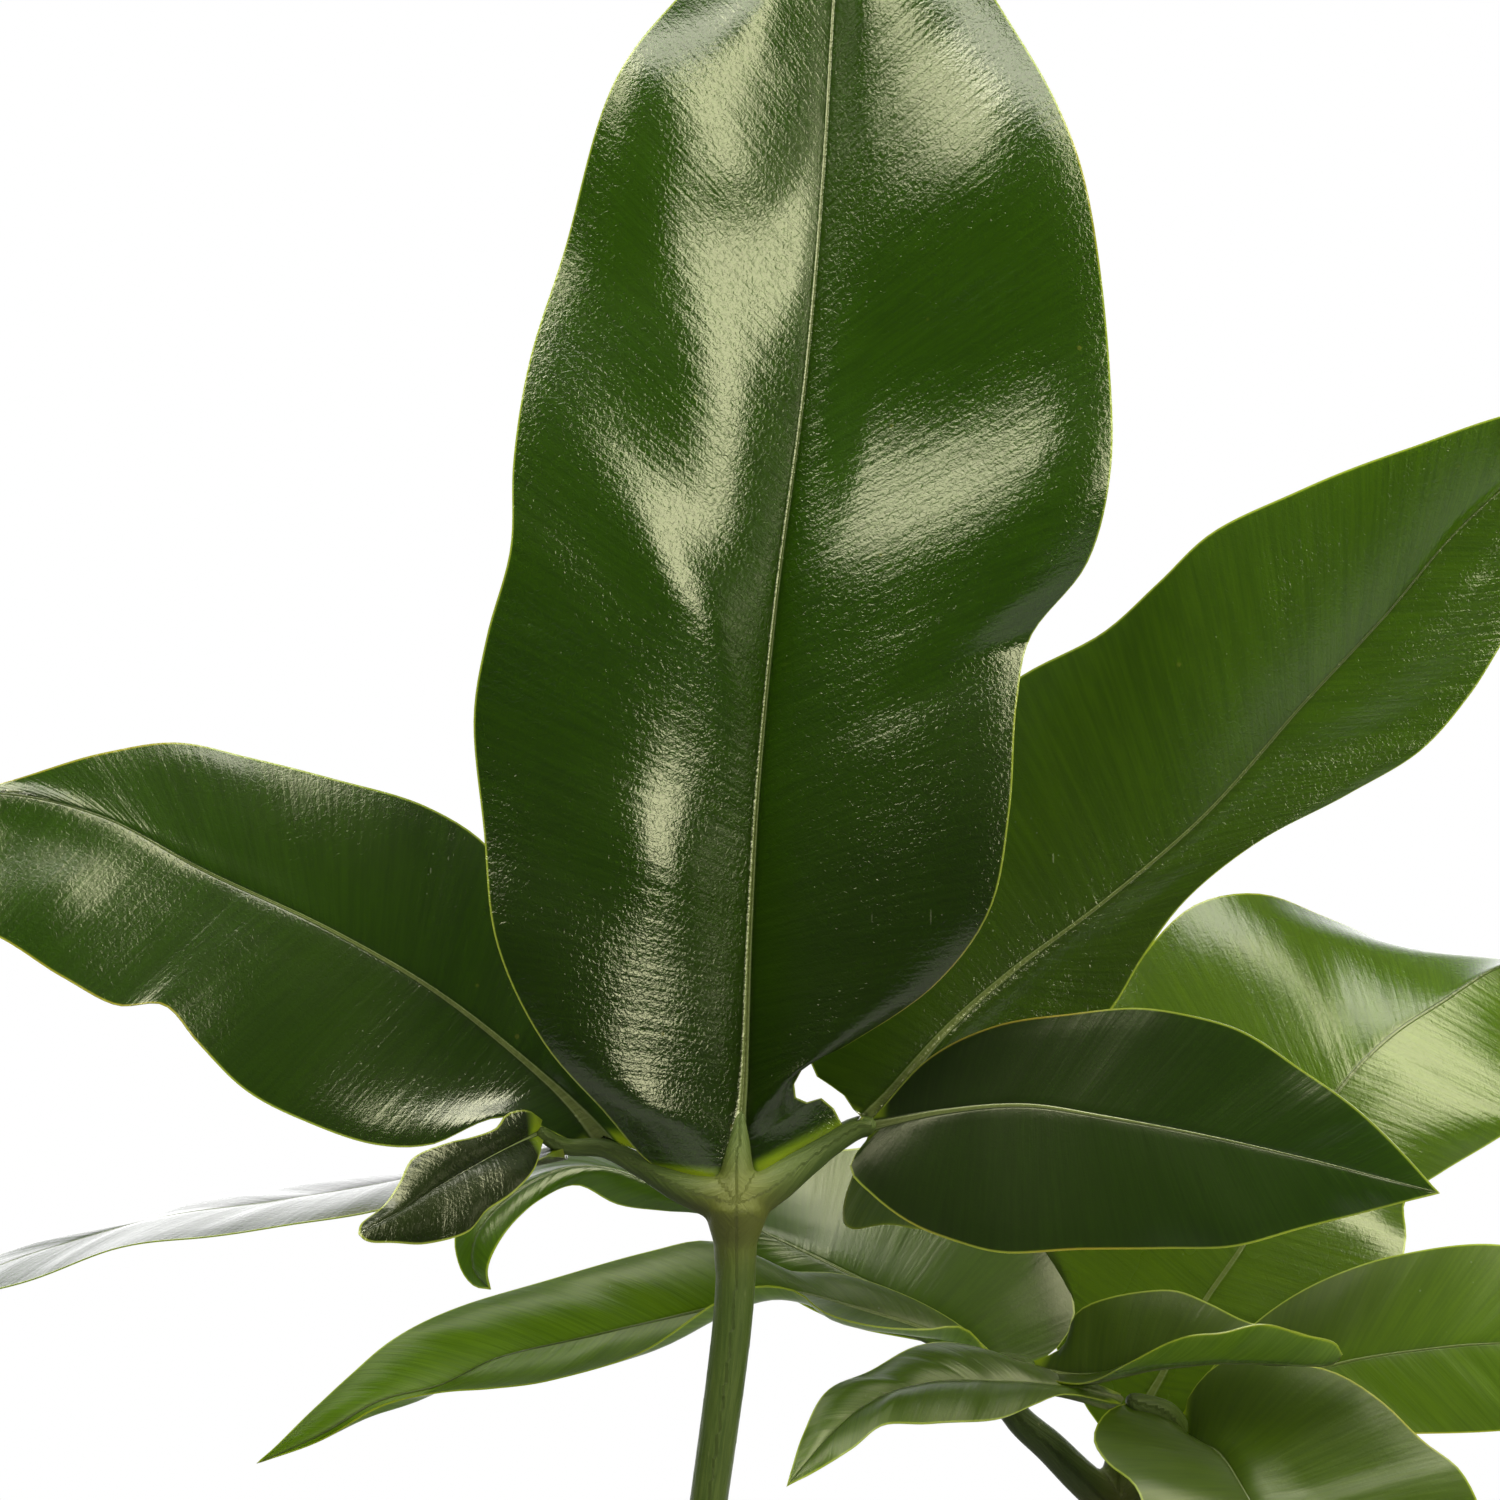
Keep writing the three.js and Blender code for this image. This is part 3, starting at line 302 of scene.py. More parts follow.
# The leaflets of leaf B, behind it to the right, from their own fork
LEAF_B = {
    "middle": dict(
        rows=80, columns=18, dull=0.6, belly=[0.03, 0.03], quilt=0.25, tip=[79.5, 91, 74],
        rib=[[1.5, 50, 4.5], [6, 50, 12], [14, 51, 26], [19.5, 52, 34], [28.5, 56, 49], [35, 59, 59],
             [42, 63, 66], [49.5, 68, 71], [58.5, 75, 76.5], [69, 83, 78]],
        left=[[0.3, 50, 5], [-4.5, 53, 12], [-9, 55, 22], [-12, 57, 34], [-12, 60, 50], [-6, 63, 62],
              [0.3, 66, 70.5], [6, 69, 79.5], [13, 72, 85.8], [23, 75, 87.8], [33, 78, 85.2], [48, 82, 79.8],
              [67.5, 87, 76]],
        right=[[4.5, 50, 4.5], [17, 48, 12], [33, 50, 19.5], [42, 54, 27], [44.3, 56, 35], [44.3, 60, 41.5],
               [49.5, 62, 45.5], [58.5, 67, 50.5], [70, 77, 57]],
        left_swells=[(0.7, 1, 0.25, 0.12, -3, 0)],
        right_swells=[(0.6, 1, 0.2, 0.7, 3, 0)],
    ),
    "left1": dict(
        rows=70, columns=14, dull=1.0, belly=[0.08, 0.06], wave=0.6, tip=[-92.9, 70, 28.1],
        rib=[[-15, 49, 14], [-24, 51, 22.5], [-39, 56, 30.3], [-52, 61, 36.5], [-66, 67, 43],
             [-79.5, 71, 46.5], [-89, 72, 42.5], [-95, 71.5, 36], [-95.4, 71, 31.2]],
        left=[[-14, 47, 13], [-24, 48, 19], [-40, 53, 23], [-53, 60, 30.5], [-60, 65, 38.5], [-67, 68, 40],
              [-74, 70, 41.3], [-80, 71, 43.8], [-85.7, 70, 41], [-91.2, 69, 36], [-93.4, 69, 31.2]],
        right=[[-12, 50, 16], [-6.5, 52, 21], [-5.2, 53, 26], [-9.5, 56, 36], [-17, 60, 44], [-29, 65, 49.5],
               [-43, 70, 49.3], [-57, 75, 47.8], [-73, 78, 48.6], [-82, 78, 49], [-92, 76, 42],
               [-98, 75, 37], [-97.4, 73, 31.4], [-95.3, 71.5, 28.6]],
        right_swells=[(0.3, 0.6, 0.2, 0.5, -3, 0)],
    ),
    "left2": dict(
        rows=80, columns=14, dull=1.5, belly=[-0.1, 0.08], wave=0.4, tip=[-128, 27, 2],
        rib=[[-17.5, 45, 16.5], [-25.5, 44, 21], [-39, 42, 25.5], [-50, 41, 27.8], [-60, 40, 25.2],
             [-79, 39, 20.8], [-92, 37, 17.7], [-100, 35, 13.9], [-109.6, 32, 11.4], [-118, 29, 6.6]],
        left=[[-16.5, 43, 16], [-22, 37, 22.3], [-28, 34, 22], [-36, 31, 22.6], [-43, 30, 24.8],
              [-47, 29, 28], [-53, 29, 28.8], [-59, 30, 26.3], [-70.5, 29, 18.3], [-84, 28, 14.5],
              [-93, 28, 13.5], [-100, 29, 12.8], [-109.4, 29, 10.4], [-118.2, 28, 5.6]],
        right=[[-16.5, 46, 17.5], [-23, 47, 23], [-31.5, 47, 27.6], [-40.5, 47, 30.5], [-50, 47, 31],
               [-60, 47, 35], [-69, 46, 33.6], [-84, 45, 29.8], [-97.5, 42, 25.3], [-108, 38, 20.1],
               [-114, 35, 15.3], [-119, 32, 10.6], [-125.4, 28, 4.2]],
    ),
    "left3": dict(
        rows=50, columns=12, dull=0.9, belly=[0.05, -0.05], wave=0.3, tip=[34.9, 27, 18.3],
        rib=[[-12, 36, 16], [-4, 34, 15.2], [6, 32, 16.8], [17, 30, 17.6], [28.5, 28, 17], [33, 27.5, 17]],
        left=[[-12, 37, 17], [-7, 37, 19.5], [-5, 37, 24.5], [0, 36, 27], [9, 35, 27.9], [15, 33, 25.8],
              [22, 31, 23], [29, 29, 21.3], [33.8, 28, 19.9]],
        right=[[-12, 35, 15], [-4, 31, 14], [3, 27, 17], [12, 24, 21.3], [17, 23, 21.8], [23, 23, 22.6],
               [29, 24, 21.5], [33.8, 25.5, 20]],
    ),
    "right1": dict(
        rows=60, columns=14, dull=1.6, belly=[0.03, 0.03], wave=0.8, tip=[85, 42, 14],
        rib=[[10.5, 46, 6], [22.5, 45, 13], [34.5, 43, 17], [46.5, 42, 19], [58.5, 41, 20],
             [70.5, 41, 19.5]],
        left=[[10, 46.5, 8], [15.5, 47, 16.5], [22, 47, 23.2], [28.5, 46, 27.8], [36, 45, 31.2],
              [43.5, 45, 33.3], [58.5, 44, 34.8], [72, 43, 31]],
        right=[[11.5, 45, 4.5], [22.5, 43, 6.5], [34.5, 42, 6.3], [46.5, 41, 6.4], [58.5, 40, 6.9],
               [72, 40, 8]],
    ),
    "right2": dict(
        rows=60, columns=14, dull=1.2, belly=[0.06, 0.05], wave=0.6, tip=[31, 14, -33],
        rib=[[10.5, 44, 5], [15.8, 38, 3.8], [20, 31, -2], [25, 24, -12], [28.5, 18, -24]],
        left=[[11.5, 45, 7], [11.5, 44, 11.5], [17, 42, 17.5], [25.5, 38, 17.7], [34, 34, 16.3],
              [41, 30, 12], [47, 26, 6], [53, 22, 0.8], [56, 18, -8], [51, 15, -20], [41, 14, -30]],
        right=[[9.5, 43, 6.5], [7, 40, 11], [0, 36, 10.3], [-2.5, 32, 6], [-0.5, 28, 2], [4, 24, -2],
               [7, 20, -12], [14, 16, -25]],
        left_swells=[(0.42, 0.5, 0.28, 0.6, -3, 0)],
    ),
    "right3": dict(
        rows=50, columns=12, dull=1.1, wave=0.4, tip=[-48.5, 8, -1.5],
        rib=[[2, 37, 11.5], [-7.5, 33, 13.5], [-17, 29, 14.2], [-27, 24, 14], [-36, 18, 11], [-42, 13, 6]],
        left=[[1.5, 36, 10.8], [-7, 30, 12.2], [-11, 26, 11], [-17, 21, 8.7], [-27, 16, 7.7], [-34, 12, 8],
              [-39, 10, 3.8]],
        right=[[1.5, 38, 12.4], [-5, 38, 15], [-16.5, 36, 18], [-23, 34, 19.8], [-29.5, 30, 19.4],
               [-36, 25, 16], [-43, 18, 12], [-46, 13, 6.5]],
    ),
}

# Each arm starts at its fork and carries the leaflets of its side: a route and radii from root to tip
ARMS_A = [
    ([[0, 0, -3], [-7.8, 0, -0.8], [-15, 1, 3], [-20, 2, 5.3], [-26, 2, 5.6], [-30, 0, 8]],
     [4, 2.7, 2, 1.6, 1.4, 1.2]),
    ([[0, 0, -3], [4.8, 0, -0.8], [9.8, 1, 2.9], [14.5, 2, 6.3], [19, 2.5, 8.6], [21, 2, 8]],
     [4, 3, 2.6, 2.2, 1.9, 1.6]),
    ([[-0.4, 0.6, -14], [-0.2, 0.2, -8], [0, 0, -3], [0, 0.3, 1.5], [0.3, 1, 6], [0.8, 2, 11]],
     [2.9, 3.3, 5, 2.8, 1.9, 1.2]),
]
ARMS_B = [
    ([[1.5, 50, -5.3], [-4.5, 48, 0], [-9, 47, 4.5], [-13.5, 47, 8.5], [-16.5, 47, 13], [-17, 44, 16.5],
      [-14.5, 40, 17], [-11.5, 36, 16]],
     [3.4, 2.9, 2.7, 2.5, 2.2, 2, 1.7, 1.5]),
    ([[1.5, 50, -5.3], [6, 49, 0], [10, 46, 5.3], [8.5, 41, 9.5], [2.5, 37, 11.6]],
     [3.4, 2.8, 2.3, 1.9, 1.4]),
    ([[1.5, 50, -5.3], [1, 50, 0], [2, 50, 6]], [3.4, 2.4, 1.8]),
]
STALK_RADII = [4.6, 4.3, 3.9, 3.4, 3.1, 2.9, 2.9, 3.1]
STALK_A = np.vstack([
    [[1, -8.5, 206], [4, -18, 238], [10, -30, 300], [22, -47, 390], [35.5, -57, 480]],
    from_front([[-0.3, 0.5, -17], [0, 0, -4]], AT_FORK_A),
])
STALK_B = np.vstack([
    [[8.5, 2.5, 204], [18, 2, 238], [38, -2, 306], [66, -5, 385], [92, -9, 455]],
    from_front([[1.5, 50, -5.3]], AT_FORK_B),
])

# How young and pale each leaflet is. Below nought it lets less light through.
TONES_A = {"all": 0.0, "right1": 0.3, "left2": -1.0, "right3": -0.7}
TONES_B = {"all": 0.8, "left1": 0.4}


# Materials

class Graph:
    """The node graph of a material or a world, with short calls for what is used here."""

    def __init__(self, owner, output="OutputMaterial"):
        owner.use_nodes = True
        self.owner = owner
        self.tree = owner.node_tree
        self.tree.nodes.clear()
        self.output = self.tree.nodes.new("ShaderNode" + output)

    def node(self, kind, inputs=None, output=0, **settings):
        """Makes a node and gives one of its outputs."""
        made = self.tree.nodes.new("ShaderNode" + kind)
        for key, value in settings.items():
            setattr(made, key, value)
        for key, value in (inputs or {}).items():
            socket = made.inputs[key]
            if isinstance(value, bpy.types.NodeSocket):
                self.tree.links.new(value, socket)
            elif socket.type == "RGBA":
                socket.default_value = (*value, 1)
            else:
                socket.default_value = value
        return made.outputs[output]

    def math(self, operation, a, b=0.0):
        return self.node("Math", {0: a, 1: b}, operation=operation)

    def add(self, a, b):
        return self.math("ADD", a, b)

    def times(self, a, b):
        return self.math("MULTIPLY", a, b)

    def greater(self, a, b):
        return self.math("MAXIMUM", a, b)

    def range(self, value, low, high, new_low=0.0, new_high=1.0):
        inputs = {"Value": value, "From Min": low, "From Max": high, "To Min": new_low, "To Max": new_high}
        return self.node("MapRange", inputs, "Result", interpolation_type="SMOOTHSTEP")

    def mix(self, factor, a, b):
        return self.node("Mix", {0: factor, 6: a, 7: b}, 2, data_type="RGBA")

    def number(self, name):
        return self.node("Attribute", output="Fac", attribute_name=name)

    def place(self):
        return self.node("TexCoord", output="Object")

    def drawn_out(self, height, tilt=0.0):
        """Places whose heights are scaled, so that what is drawn there comes out long or flat."""
        inputs = {"Vector": self.place(), "Rotation": (0.0, tilt, 0.0), "Scale": (1, 1, height)}
        return self.node("Mapping", inputs)

    def vector(self, x, y=0.0, z=0.0):
        return self.node("CombineXYZ", {0: x, 1: y, 2: z})

    def noise(self, vector, scale, detail=2.0, roughness=0.5, distortion=0.0):
        inputs = {"Vector": vector, "Scale": scale, "Detail": detail, "Roughness": roughness}
        return self.node("TexNoise", {**inputs, "Distortion": distortion}, "Fac")

    def spots(self, vector, scale, full, gone, most=1.0):
        """Scattered spots, full within one distance from their middles and gone beyond another."""
        cells = self.node("TexVoronoi", {"Vector": vector, "Scale": scale}, "Distance")
        return self.range(cells, full, gone, most, 0.0)

    def bump(self, height):
        """Height in metres."""
        return self.node("Bump", {"Height": height, "Strength": 1.0, "Distance": 1.0})

    def blend(self, share, a, b):
        return self.node("MixShader", {0: share, 1: a, 2: b})

    def principled(self, colour, **inputs):
        return self.node("BsdfPrincipled", {"Base Color": colour, **inputs})

    def finish(self, shader):
        self.tree.links.new(shader, self.output.inputs["Surface"])
        return self.owner


class LeafGraph(Graph):
    """The graph of a leaf's upper or lower face, with what several of its layers read."""

    def __init__(self, name, upper):
        super().__init__(bpy.data.materials.new(name))
        self.upper = upper
        self.spot = self.place()
        self.tone, self.dull = self.number("tone"), self.number("dull")
        self.rib, self.station = self.number("rib"), self.number("station")
        self.fine_lines = self.along_veins(0.05, 1.6, detail=4.0, roughness=0.6)
        self.broad_lines = self.along_veins(0.02, 0.22, detail=1.0)
        self.rib_share = self.range(self.rib, 0.85, 1.1, 0.95, 0.0)
        rim_share = self.range(self.number("rim"), 0.12, 0.42, 0.9, 0.0)
        root_share = self.times(self.range(self.station, 0.8, 2.6, 1.0, 0.0), self.range(self.rib, 1.0, 1.6))
        self.rim_share, self.root_share = rim_share, root_share
        self.thin_share = self.greater(rim_share, root_share)

    def along_veins(self, spread, scale, **settings):
        """Side veins run along the stations, so what is drawn out along them varies slowly across the blade
        and fast from station to station."""
        across = self.times(self.number("across"), spread)
        lines = self.vector(across, self.number("station"), self.number("seed"))
        return self.noise(lines, scale, **settings)


def leaf_material(name, upper):
    """Living leaf tissue: a glossy, crinkled upper face or a paler, duller lower one."""
    g = LeafGraph(name, upper)
    colour = with_specks(g, with_rib_and_margin(g, leaf_green(g)))
    normal = leaf_relief(g)
    return g.finish(under_wax(g, leaf_tissue(g, colour, normal), normal))


def leaf_green(g):
    """Clouded green, lighter along fine veins and in young leaflets, with a film where dull that is partly
    dust and partly painted sheen.
    """
    if g.upper:
        dark, light, young = (0.0036, 0.0060, 0.0012), (0.0065, 0.012, 0.0014), (0.024, 0.034, 0.004)
    else:
        dark, light, young = (0.035, 0.075, 0.018), (0.05, 0.10, 0.025), (0.08, 0.15, 0.035)
    colour = g.mix(g.range(g.noise(g.spot, 28.0, detail=3.0), 0.3, 0.7), dark, light)
    colour = g.mix(g.range(g.fine_lines, 0.35, 0.7, 0.0, 0.4), colour, light)
    colour = g.mix(g.tone, colour, young)
    colour = g.mix(g.range(g.broad_lines, 0.35, 0.65, 0.0, 0.3), colour, dark)
    if g.upper:
        # The film is dust and also a painted sheen, paler on young leaflets.
        dust_and_sheen_film = g.mix(g.tone, (0.014, 0.020, 0.008), (0.040, 0.060, 0.016))
        colour = g.mix(g.times(g.dull, 0.4), colour, dust_and_sheen_film)
    return colour


def with_rib_and_margin(g, colour):
    """A pale rib, darker towards its tip and lighter along its sides, a pale margin with a reddish tinge,
    and thin bright tissue where the blade leaves its arm."""
    rib_colour = g.mix(g.range(g.fine_lines, 0.3, 0.7), (0.080, 0.102, 0.034), (0.115, 0.138, 0.052))
    rib_colour = g.mix(g.range(g.station, 15.0, 110.0, 0.0, 0.8), rib_colour, (0.035, 0.055, 0.014))
    sides = g.times(g.range(g.rib, 0.55, 0.85), g.range(g.rib, 0.9, 1.15, 1.0, 0.0))
    rib_colour = g.mix(g.times(sides, 0.6), rib_colour, (0.17, 0.21, 0.10))
    blush = g.range(g.noise(g.spot, 14.0), 0.5, 0.62)
    margin_colour = g.mix(blush, (0.22, 0.25, 0.055), (0.27, 0.18, 0.04))
    colour = g.mix(g.rib_share, colour, rib_colour)
    colour = g.mix(g.rim_share, colour, margin_colour)
    return g.mix(g.root_share, colour, (0.10, 0.15, 0.012))


def with_specks(g, colour):
    """Specks of dust, short pale hairs and yellow flecks."""
    specks = g.spots(g.spot, 420.0, 0.05, 0.08)
    hairs = g.spots(g.drawn_out(0.1, tilt=0.5), 330.0, 0.035, 0.05)
    dusty = g.range(g.noise(g.spot, 33.0), 0.54, 0.68)
    colour = g.mix(g.times(g.greater(specks, hairs), g.times(dusty, 0.45)), colour, (0.22, 0.23, 0.19))
    flecks = g.spots(g.spot, 130.0, 0.035, 0.06)
    fleck_here = g.range(g.noise(g.spot, 9.0), 0.56, 0.62)
    return g.mix(g.times(g.times(flecks, fleck_here), 0.45), colour, (0.10, 0.09, 0.02))


def leaf_relief(g):
    """A fine crinkle, less of it where the skin is dull, and faint ridges along the side veins."""
    crisp = g.range(g.dull, 0.0, 1.0, 1.0, 0.15)
    crinkle = g.times(g.noise(g.spot, 1500.0, roughness=0.6, distortion=0.8), 0.00009)
    lumps = g.times(g.noise(g.spot, 260.0, detail=1.0), 0.00006)
    height = g.times(g.add(crinkle, lumps), crisp)
    height = g.add(height, g.times(g.along_veins(0.06, 0.9, detail=3.0), 0.00009))
    height = g.add(height, g.times(g.broad_lines, 0.00008))
    return g.bump(height)


def leaf_tissue(g, colour, normal):
    """The light that the tissue scatters back, and the yellower light that it lets through."""
    through = (0.68, 0.87, 0.2)
    share = 0.6
    if g.upper:
        through = g.mix(g.tone, (0.30, 0.66, 0.007), (0.62, 0.86, 0.018))
        share = g.add(g.range(g.tone, -1.0, 0.0, 0.03, 0.25), g.range(g.tone, 0.0, 1.0, 0.0, 0.25))
        # Less light passes within about 110 mm of a leaflet's base, down to half at the base: painted shade.
        share = g.times(share, g.range(g.station, 8.0, 110.0, 0.5, 1.0))
        share = g.add(share, g.times(g.thin_share, 0.35))
    through = g.mix(g.range(g.fine_lines, 0.3, 0.7, 0.35, 0.0), through, (0.14, 0.32, 0.004))
    through = g.mix(g.rib_share, through, g.mix(g.tone, (0.06, 0.08, 0.01), (0.24, 0.32, 0.03)))
    through = g.mix(g.thin_share, through, (0.90, 1.0, 0.12))
    body = g.node("BsdfDiffuse", {"Color": colour, "Normal": normal})
    glow = g.node("BsdfTranslucent", {"Color": through, "Normal": normal})
    return g.blend(share, body, glow)


def under_wax(g, tissue, normal):
    """Puts the waxy skin over the tissue, with more haze and less shine where it is dull."""
    def shine(roughness):
        inputs = {"Color": (1, 1, 1), "Roughness": roughness, "Normal": normal}
        return g.node("BsdfGlossy", inputs, distribution="BECKMANN")

    roughness = 0.5
    if g.upper:
        roughness = g.add(g.range(g.noise(g.spot, 60.0), 0.3, 0.7, 0.15, 0.20), g.times(g.dull, 0.15))
    wax = g.blend(g.range(g.dull, 0.3, 1.6, 0.06, 0.4), shine(roughness), shine(0.5))
    mirrored = g.node("Fresnel", {"IOR": 1.55, "Normal": normal})
    mirrored = g.times(mirrored, g.range(g.dull, 0.5, 1.6, 1.0, 0.55))
    return g.blend(mirrored, tissue, wax)


def stalk_material():
    """A leaf stalk: olive green with fine lengthwise streaks and small pale flecks, browner at its fork."""
    pale, deep, joint = (0.060, 0.088, 0.020), (0.028, 0.050, 0.008), (0.085, 0.084, 0.016)
    g = Graph(bpy.data.materials.new("leaf_stalk"))
    place = g.place()
    lengthwise = g.vector(g.number("across"), g.times(g.number("station"), 0.05), g.number("seed"))
    streaks = g.noise(lengthwise, 2.2, detail=4.0, roughness=0.65)
    colour = g.mix(g.range(streaks, 0.3, 0.7), deep, pale)
    colour = g.mix(g.range(g.noise(place, 45.0), 0.35, 0.7, 0.0, 0.5), colour, deep)
    colour = g.mix(g.number("tone"), colour, joint)
    flecks = g.spots(g.drawn_out(0.35), 700.0, 0.12, 0.2, 0.6)
    fleck_here = g.range(g.noise(place, 90.0), 0.5, 0.62)
    colour = g.mix(g.times(flecks, fleck_here), colour, (0.17, 0.19, 0.09))
    height = g.add(g.times(streaks, 0.00018), g.times(g.noise(place, 1400.0), 0.00006))
    return g.finish(g.principled(colour, Roughness=0.5, IOR=1.38, Normal=g.bump(height)))


LEAF_MATERIALS = [
    leaf_material("leaf_upper_face", True),
    leaf_material("leaf_lower_face", False),
    stalk_material(),
]
UPPER_FACE, LOWER_FACE, STALK_SKIN = range(3)


# Leaves

# What a leaflet has unless its own list says otherwise: the depth of its trough on each side as a share of
# its width, the height and number of its margin's waves, where they start, and the height of its quilting
PLAIN_LEAFLET = dict(
    belly=[0.1, 0.1], wave=1.5, waves=3, phase=0, quilt=0.3, left_swells=(), right_swells=(),
)
RIB_COLUMNS = np.array([0.45, 0.85, 1.1, 1.5, 2.2])
MOST_OF_HALF = 0.12
QUILT_WAVES = [(0.5, 5.3), (0.35, 8.7), (0.2, 13.9)]
RIB_RIDGE = 0.12
RIB_GROOVE = 0.09
FLAT_AT_RIB = 0.25
FLAT_AT_ROOT = 0.04
FLAT_AT_TIP = 0.08
NEAR_TIP = 0.97
ROUNDED_END = 0.6


def rib_half_width(distance, size):
    """Half the width of a rib at a distance from its base: broad at the base and then slender."""
    return size * (0.4 + 0.4 * np.exp(-distance / 40) + 1.7 * np.exp(-distance / 6))


def swelling(swells, s, share):
    """Heights of the swells of one half of a blade, flat at its rib and at both ends."""
    height = np.zeros(np.broadcast(s, share).shape)
    for at, across, long, wide, high, lean in swells:
        on = (s - at - lean * (share - across)) / long
        height += high * np.exp(-(on**2) - ((share - across) / wide) ** 2)
    to_ends = np.clip(np.minimum(s / FLAT_AT_ROOT, (1 - s) / FLAT_AT_TIP), 0, 1)
    return height * smoothstep(0, FLAT_AT_RIB, share) * to_ends


def half_blade(spec, side, s, middle, end, outward, half_rib, draw):
    """One half of a blade: its points from the rib to the margin, their shares of its width, and that width.
    It has a trough, a wave along its margin, quilting between its side veins and its own swells."""
    width = np.linalg.norm(end - middle, axis=1)
    near = RIB_COLUMNS * np.minimum(half_rib / np.maximum(width, 1e-6), MOST_OF_HALF)[:, None]
    rest = near[:, -1:] + (1 - near[:, -1:]) * np.linspace(0, 1, spec["columns"] - len(RIB_COLUMNS) + 1)[1:]
    share = np.hstack([near, rest])
    wave = np.sin(2 * np.pi * (spec["waves"] * s + spec["phase"] + SIDE_SHIFT * side)) * np.sin(np.pi * s)
    quilt = sum(a * np.sin(2 * np.pi * (f * s + draw.random())) for a, f in QUILT_WAVES)
    hollow = spec["belly"][side] * width * (0.25 + 0.75 * smoothstep(0, 0.1, s))
    lift = hollow[:, None] * 4 * share * (1 - share) + (spec["wave"] * wave)[:, None] * share**2
    lift += spec["quilt"] * (quilt * np.sin(np.pi * s) ** 0.5)[:, None] * np.sin(np.pi * share) ** 0.8
    lift += swelling(spec[SIDES[side] + "_swells"], s[:, None], share)
    flat = middle[:, None] + (end - middle)[:, None] * share[..., None]
    return flat + outward[:, None] * lift[..., None], share, width


def two_faces(grid, s, inward, to_margin, half_rib):
    """The upper and the lower face about a blade's middle surface: thin at the margin, with a rounded rib
    between two grooves above and a keel below."""
    normal = np.cross(np.gradient(grid, axis=1), np.gradient(grid, axis=0))
    normal /= np.maximum(np.linalg.norm(normal, axis=2, keepdims=True), 1e-9)
    thickness = MARGIN + (BLADE - MARGIN) * smoothstep(0, MARGIN_WIDTH, to_margin)
    dome = np.sqrt(np.clip(1 - inward**2, 0, 1))
    ridge = RIB_RIDGE * half_rib[:, None] * dome - RIB_GROOVE * np.exp(-((inward - 1.25) ** 2) / 0.06)
    keel = along(RIB_DEPTHS, s)[:, None] * np.sqrt(np.clip(1 - (inward / 1.2) ** 2, 0, 1))
    upper = grid + normal * (thickness / 2 + ridge)[..., None]
    lower = grid - normal * (thickness / 2 + keel)[..., None]
    return upper, lower


def blade(shape, spec, tone, seed):
    """One leaflet. Left and right are as seen from its upper face with the tip up."""
    spec = {**PLAIN_LEAFLET, **spec}
    columns = spec["columns"]
    draw = np.random.default_rng(seed)
    s = np.linspace(0, 1, spec["rows"] + 1)
    reach = np.minimum(s + VEIN_LEAN * s * (1 - s), 1)
    rib = Curve(spec["rib"])
    middle = rib.at(s)
    half_rib = rib_half_width(s * rib.length, spec.get("rib_size", rib.length / BIG_LEAFLET))
    edges = [Curve(spec[side]) for side in SIDES]
    ends = [edge.at(reach) for edge in edges]
    sideways = ends[1] - ends[0]
    sideways[-1] = edges[1].at(NEAR_TIP) - edges[0].at(NEAR_TIP)
    outward = np.cross(sideways, rib.heading(s))
    outward /= np.linalg.norm(outward, axis=1, keepdims=True)

    halves = [half_blade(spec, side, s, middle, ends[side], outward, half_rib, draw) for side in (0, 1)]
    (left, left_share, left_width), (right, right_share, right_width) = halves
    grid = np.concatenate([left[:, ::-1], middle[:, None], right], 1)
    share = np.hstack([left_share[:, ::-1], np.zeros((len(s), 1)), right_share])
    sign = np.repeat([-1, 0, 1], [columns, 1, columns])
    width = np.where(sign < 0, left_width[:, None], right_width[:, None])
    distance = share * width * sign
    inward = np.abs(distance) / half_rib[:, None]
    to_margin = np.where(share > 0, width * (1 - share), FAR_FROM_MARGIN)
    to_margin = np.minimum(to_margin, (1 - s[:, None]) * rib.length * 0.5 + 0.02)
    upper, lower = two_faces(grid, s, inward, to_margin, half_rib)

    # The margin has its own points, so that its edges stay crisp
    n, m = share.shape
    faces = grid_faces(n, m)
    under = n * m
    rim = np.concatenate([
        np.arange(n - 1) * m,
        (n - 1) * m + np.arange(m - 1),
        np.arange(n - 1, 0, -1) * m + m - 1,
        np.arange(m - 1, 0, -1),
    ])
    source = np.concatenate([np.arange(2 * under), rim, rim + under])
    here = np.arange(len(rim)) + 2 * under
    after = np.roll(here, -1)
    border = np.stack([here, after, after + len(rim), here + len(rim)], 1)
    station = np.broadcast_to(s[:, None] * rib.length, share.shape)
    numbers = {"across": distance, "station": station, "rib": inward, "rim": to_margin}
    shape.add(
        np.concatenate([upper.reshape(-1, 3), lower.reshape(-1, 3)])[source],
        np.concatenate([faces, faces[:, ::-1] + under, border]),
        np.repeat([UPPER_FACE, LOWER_FACE, UPPER_FACE], [len(faces), len(faces), len(border)]),
        tone=tone,
        dull=spec.get("dull", max(tone, 0.0)),
        seed=float(seed),
        **{kind: np.tile(value.ravel(), 2)[source] for kind, value in numbers.items()},
    )


def add_rings(shape, curve, s, first, second, radius, around, material, **numbers):
    """A closed form about a curve, in rings at shares s of it. Around has each point's turn from the seam of
    the skin's pattern."""
    turn = full_turn(around.shape[1])
    centre = curve.at(s)
    outward = first[:, None] * np.cos(turn)[:, None] + second[:, None] * np.sin(turn)[:, None]
    points = (centre[:, None] + outward * radius[..., None]).reshape(-1, 3)
    shape.add(
        np.vstack([points, centre[0], centre[-1]]),
        round_faces(*around.shape),
        material,
        across=np.append((radius * around).ravel(), [0, 0]),
        station=np.append(np.repeat(s * curve.length, len(turn)), [0, curve.length]),
        **numbers,
    )


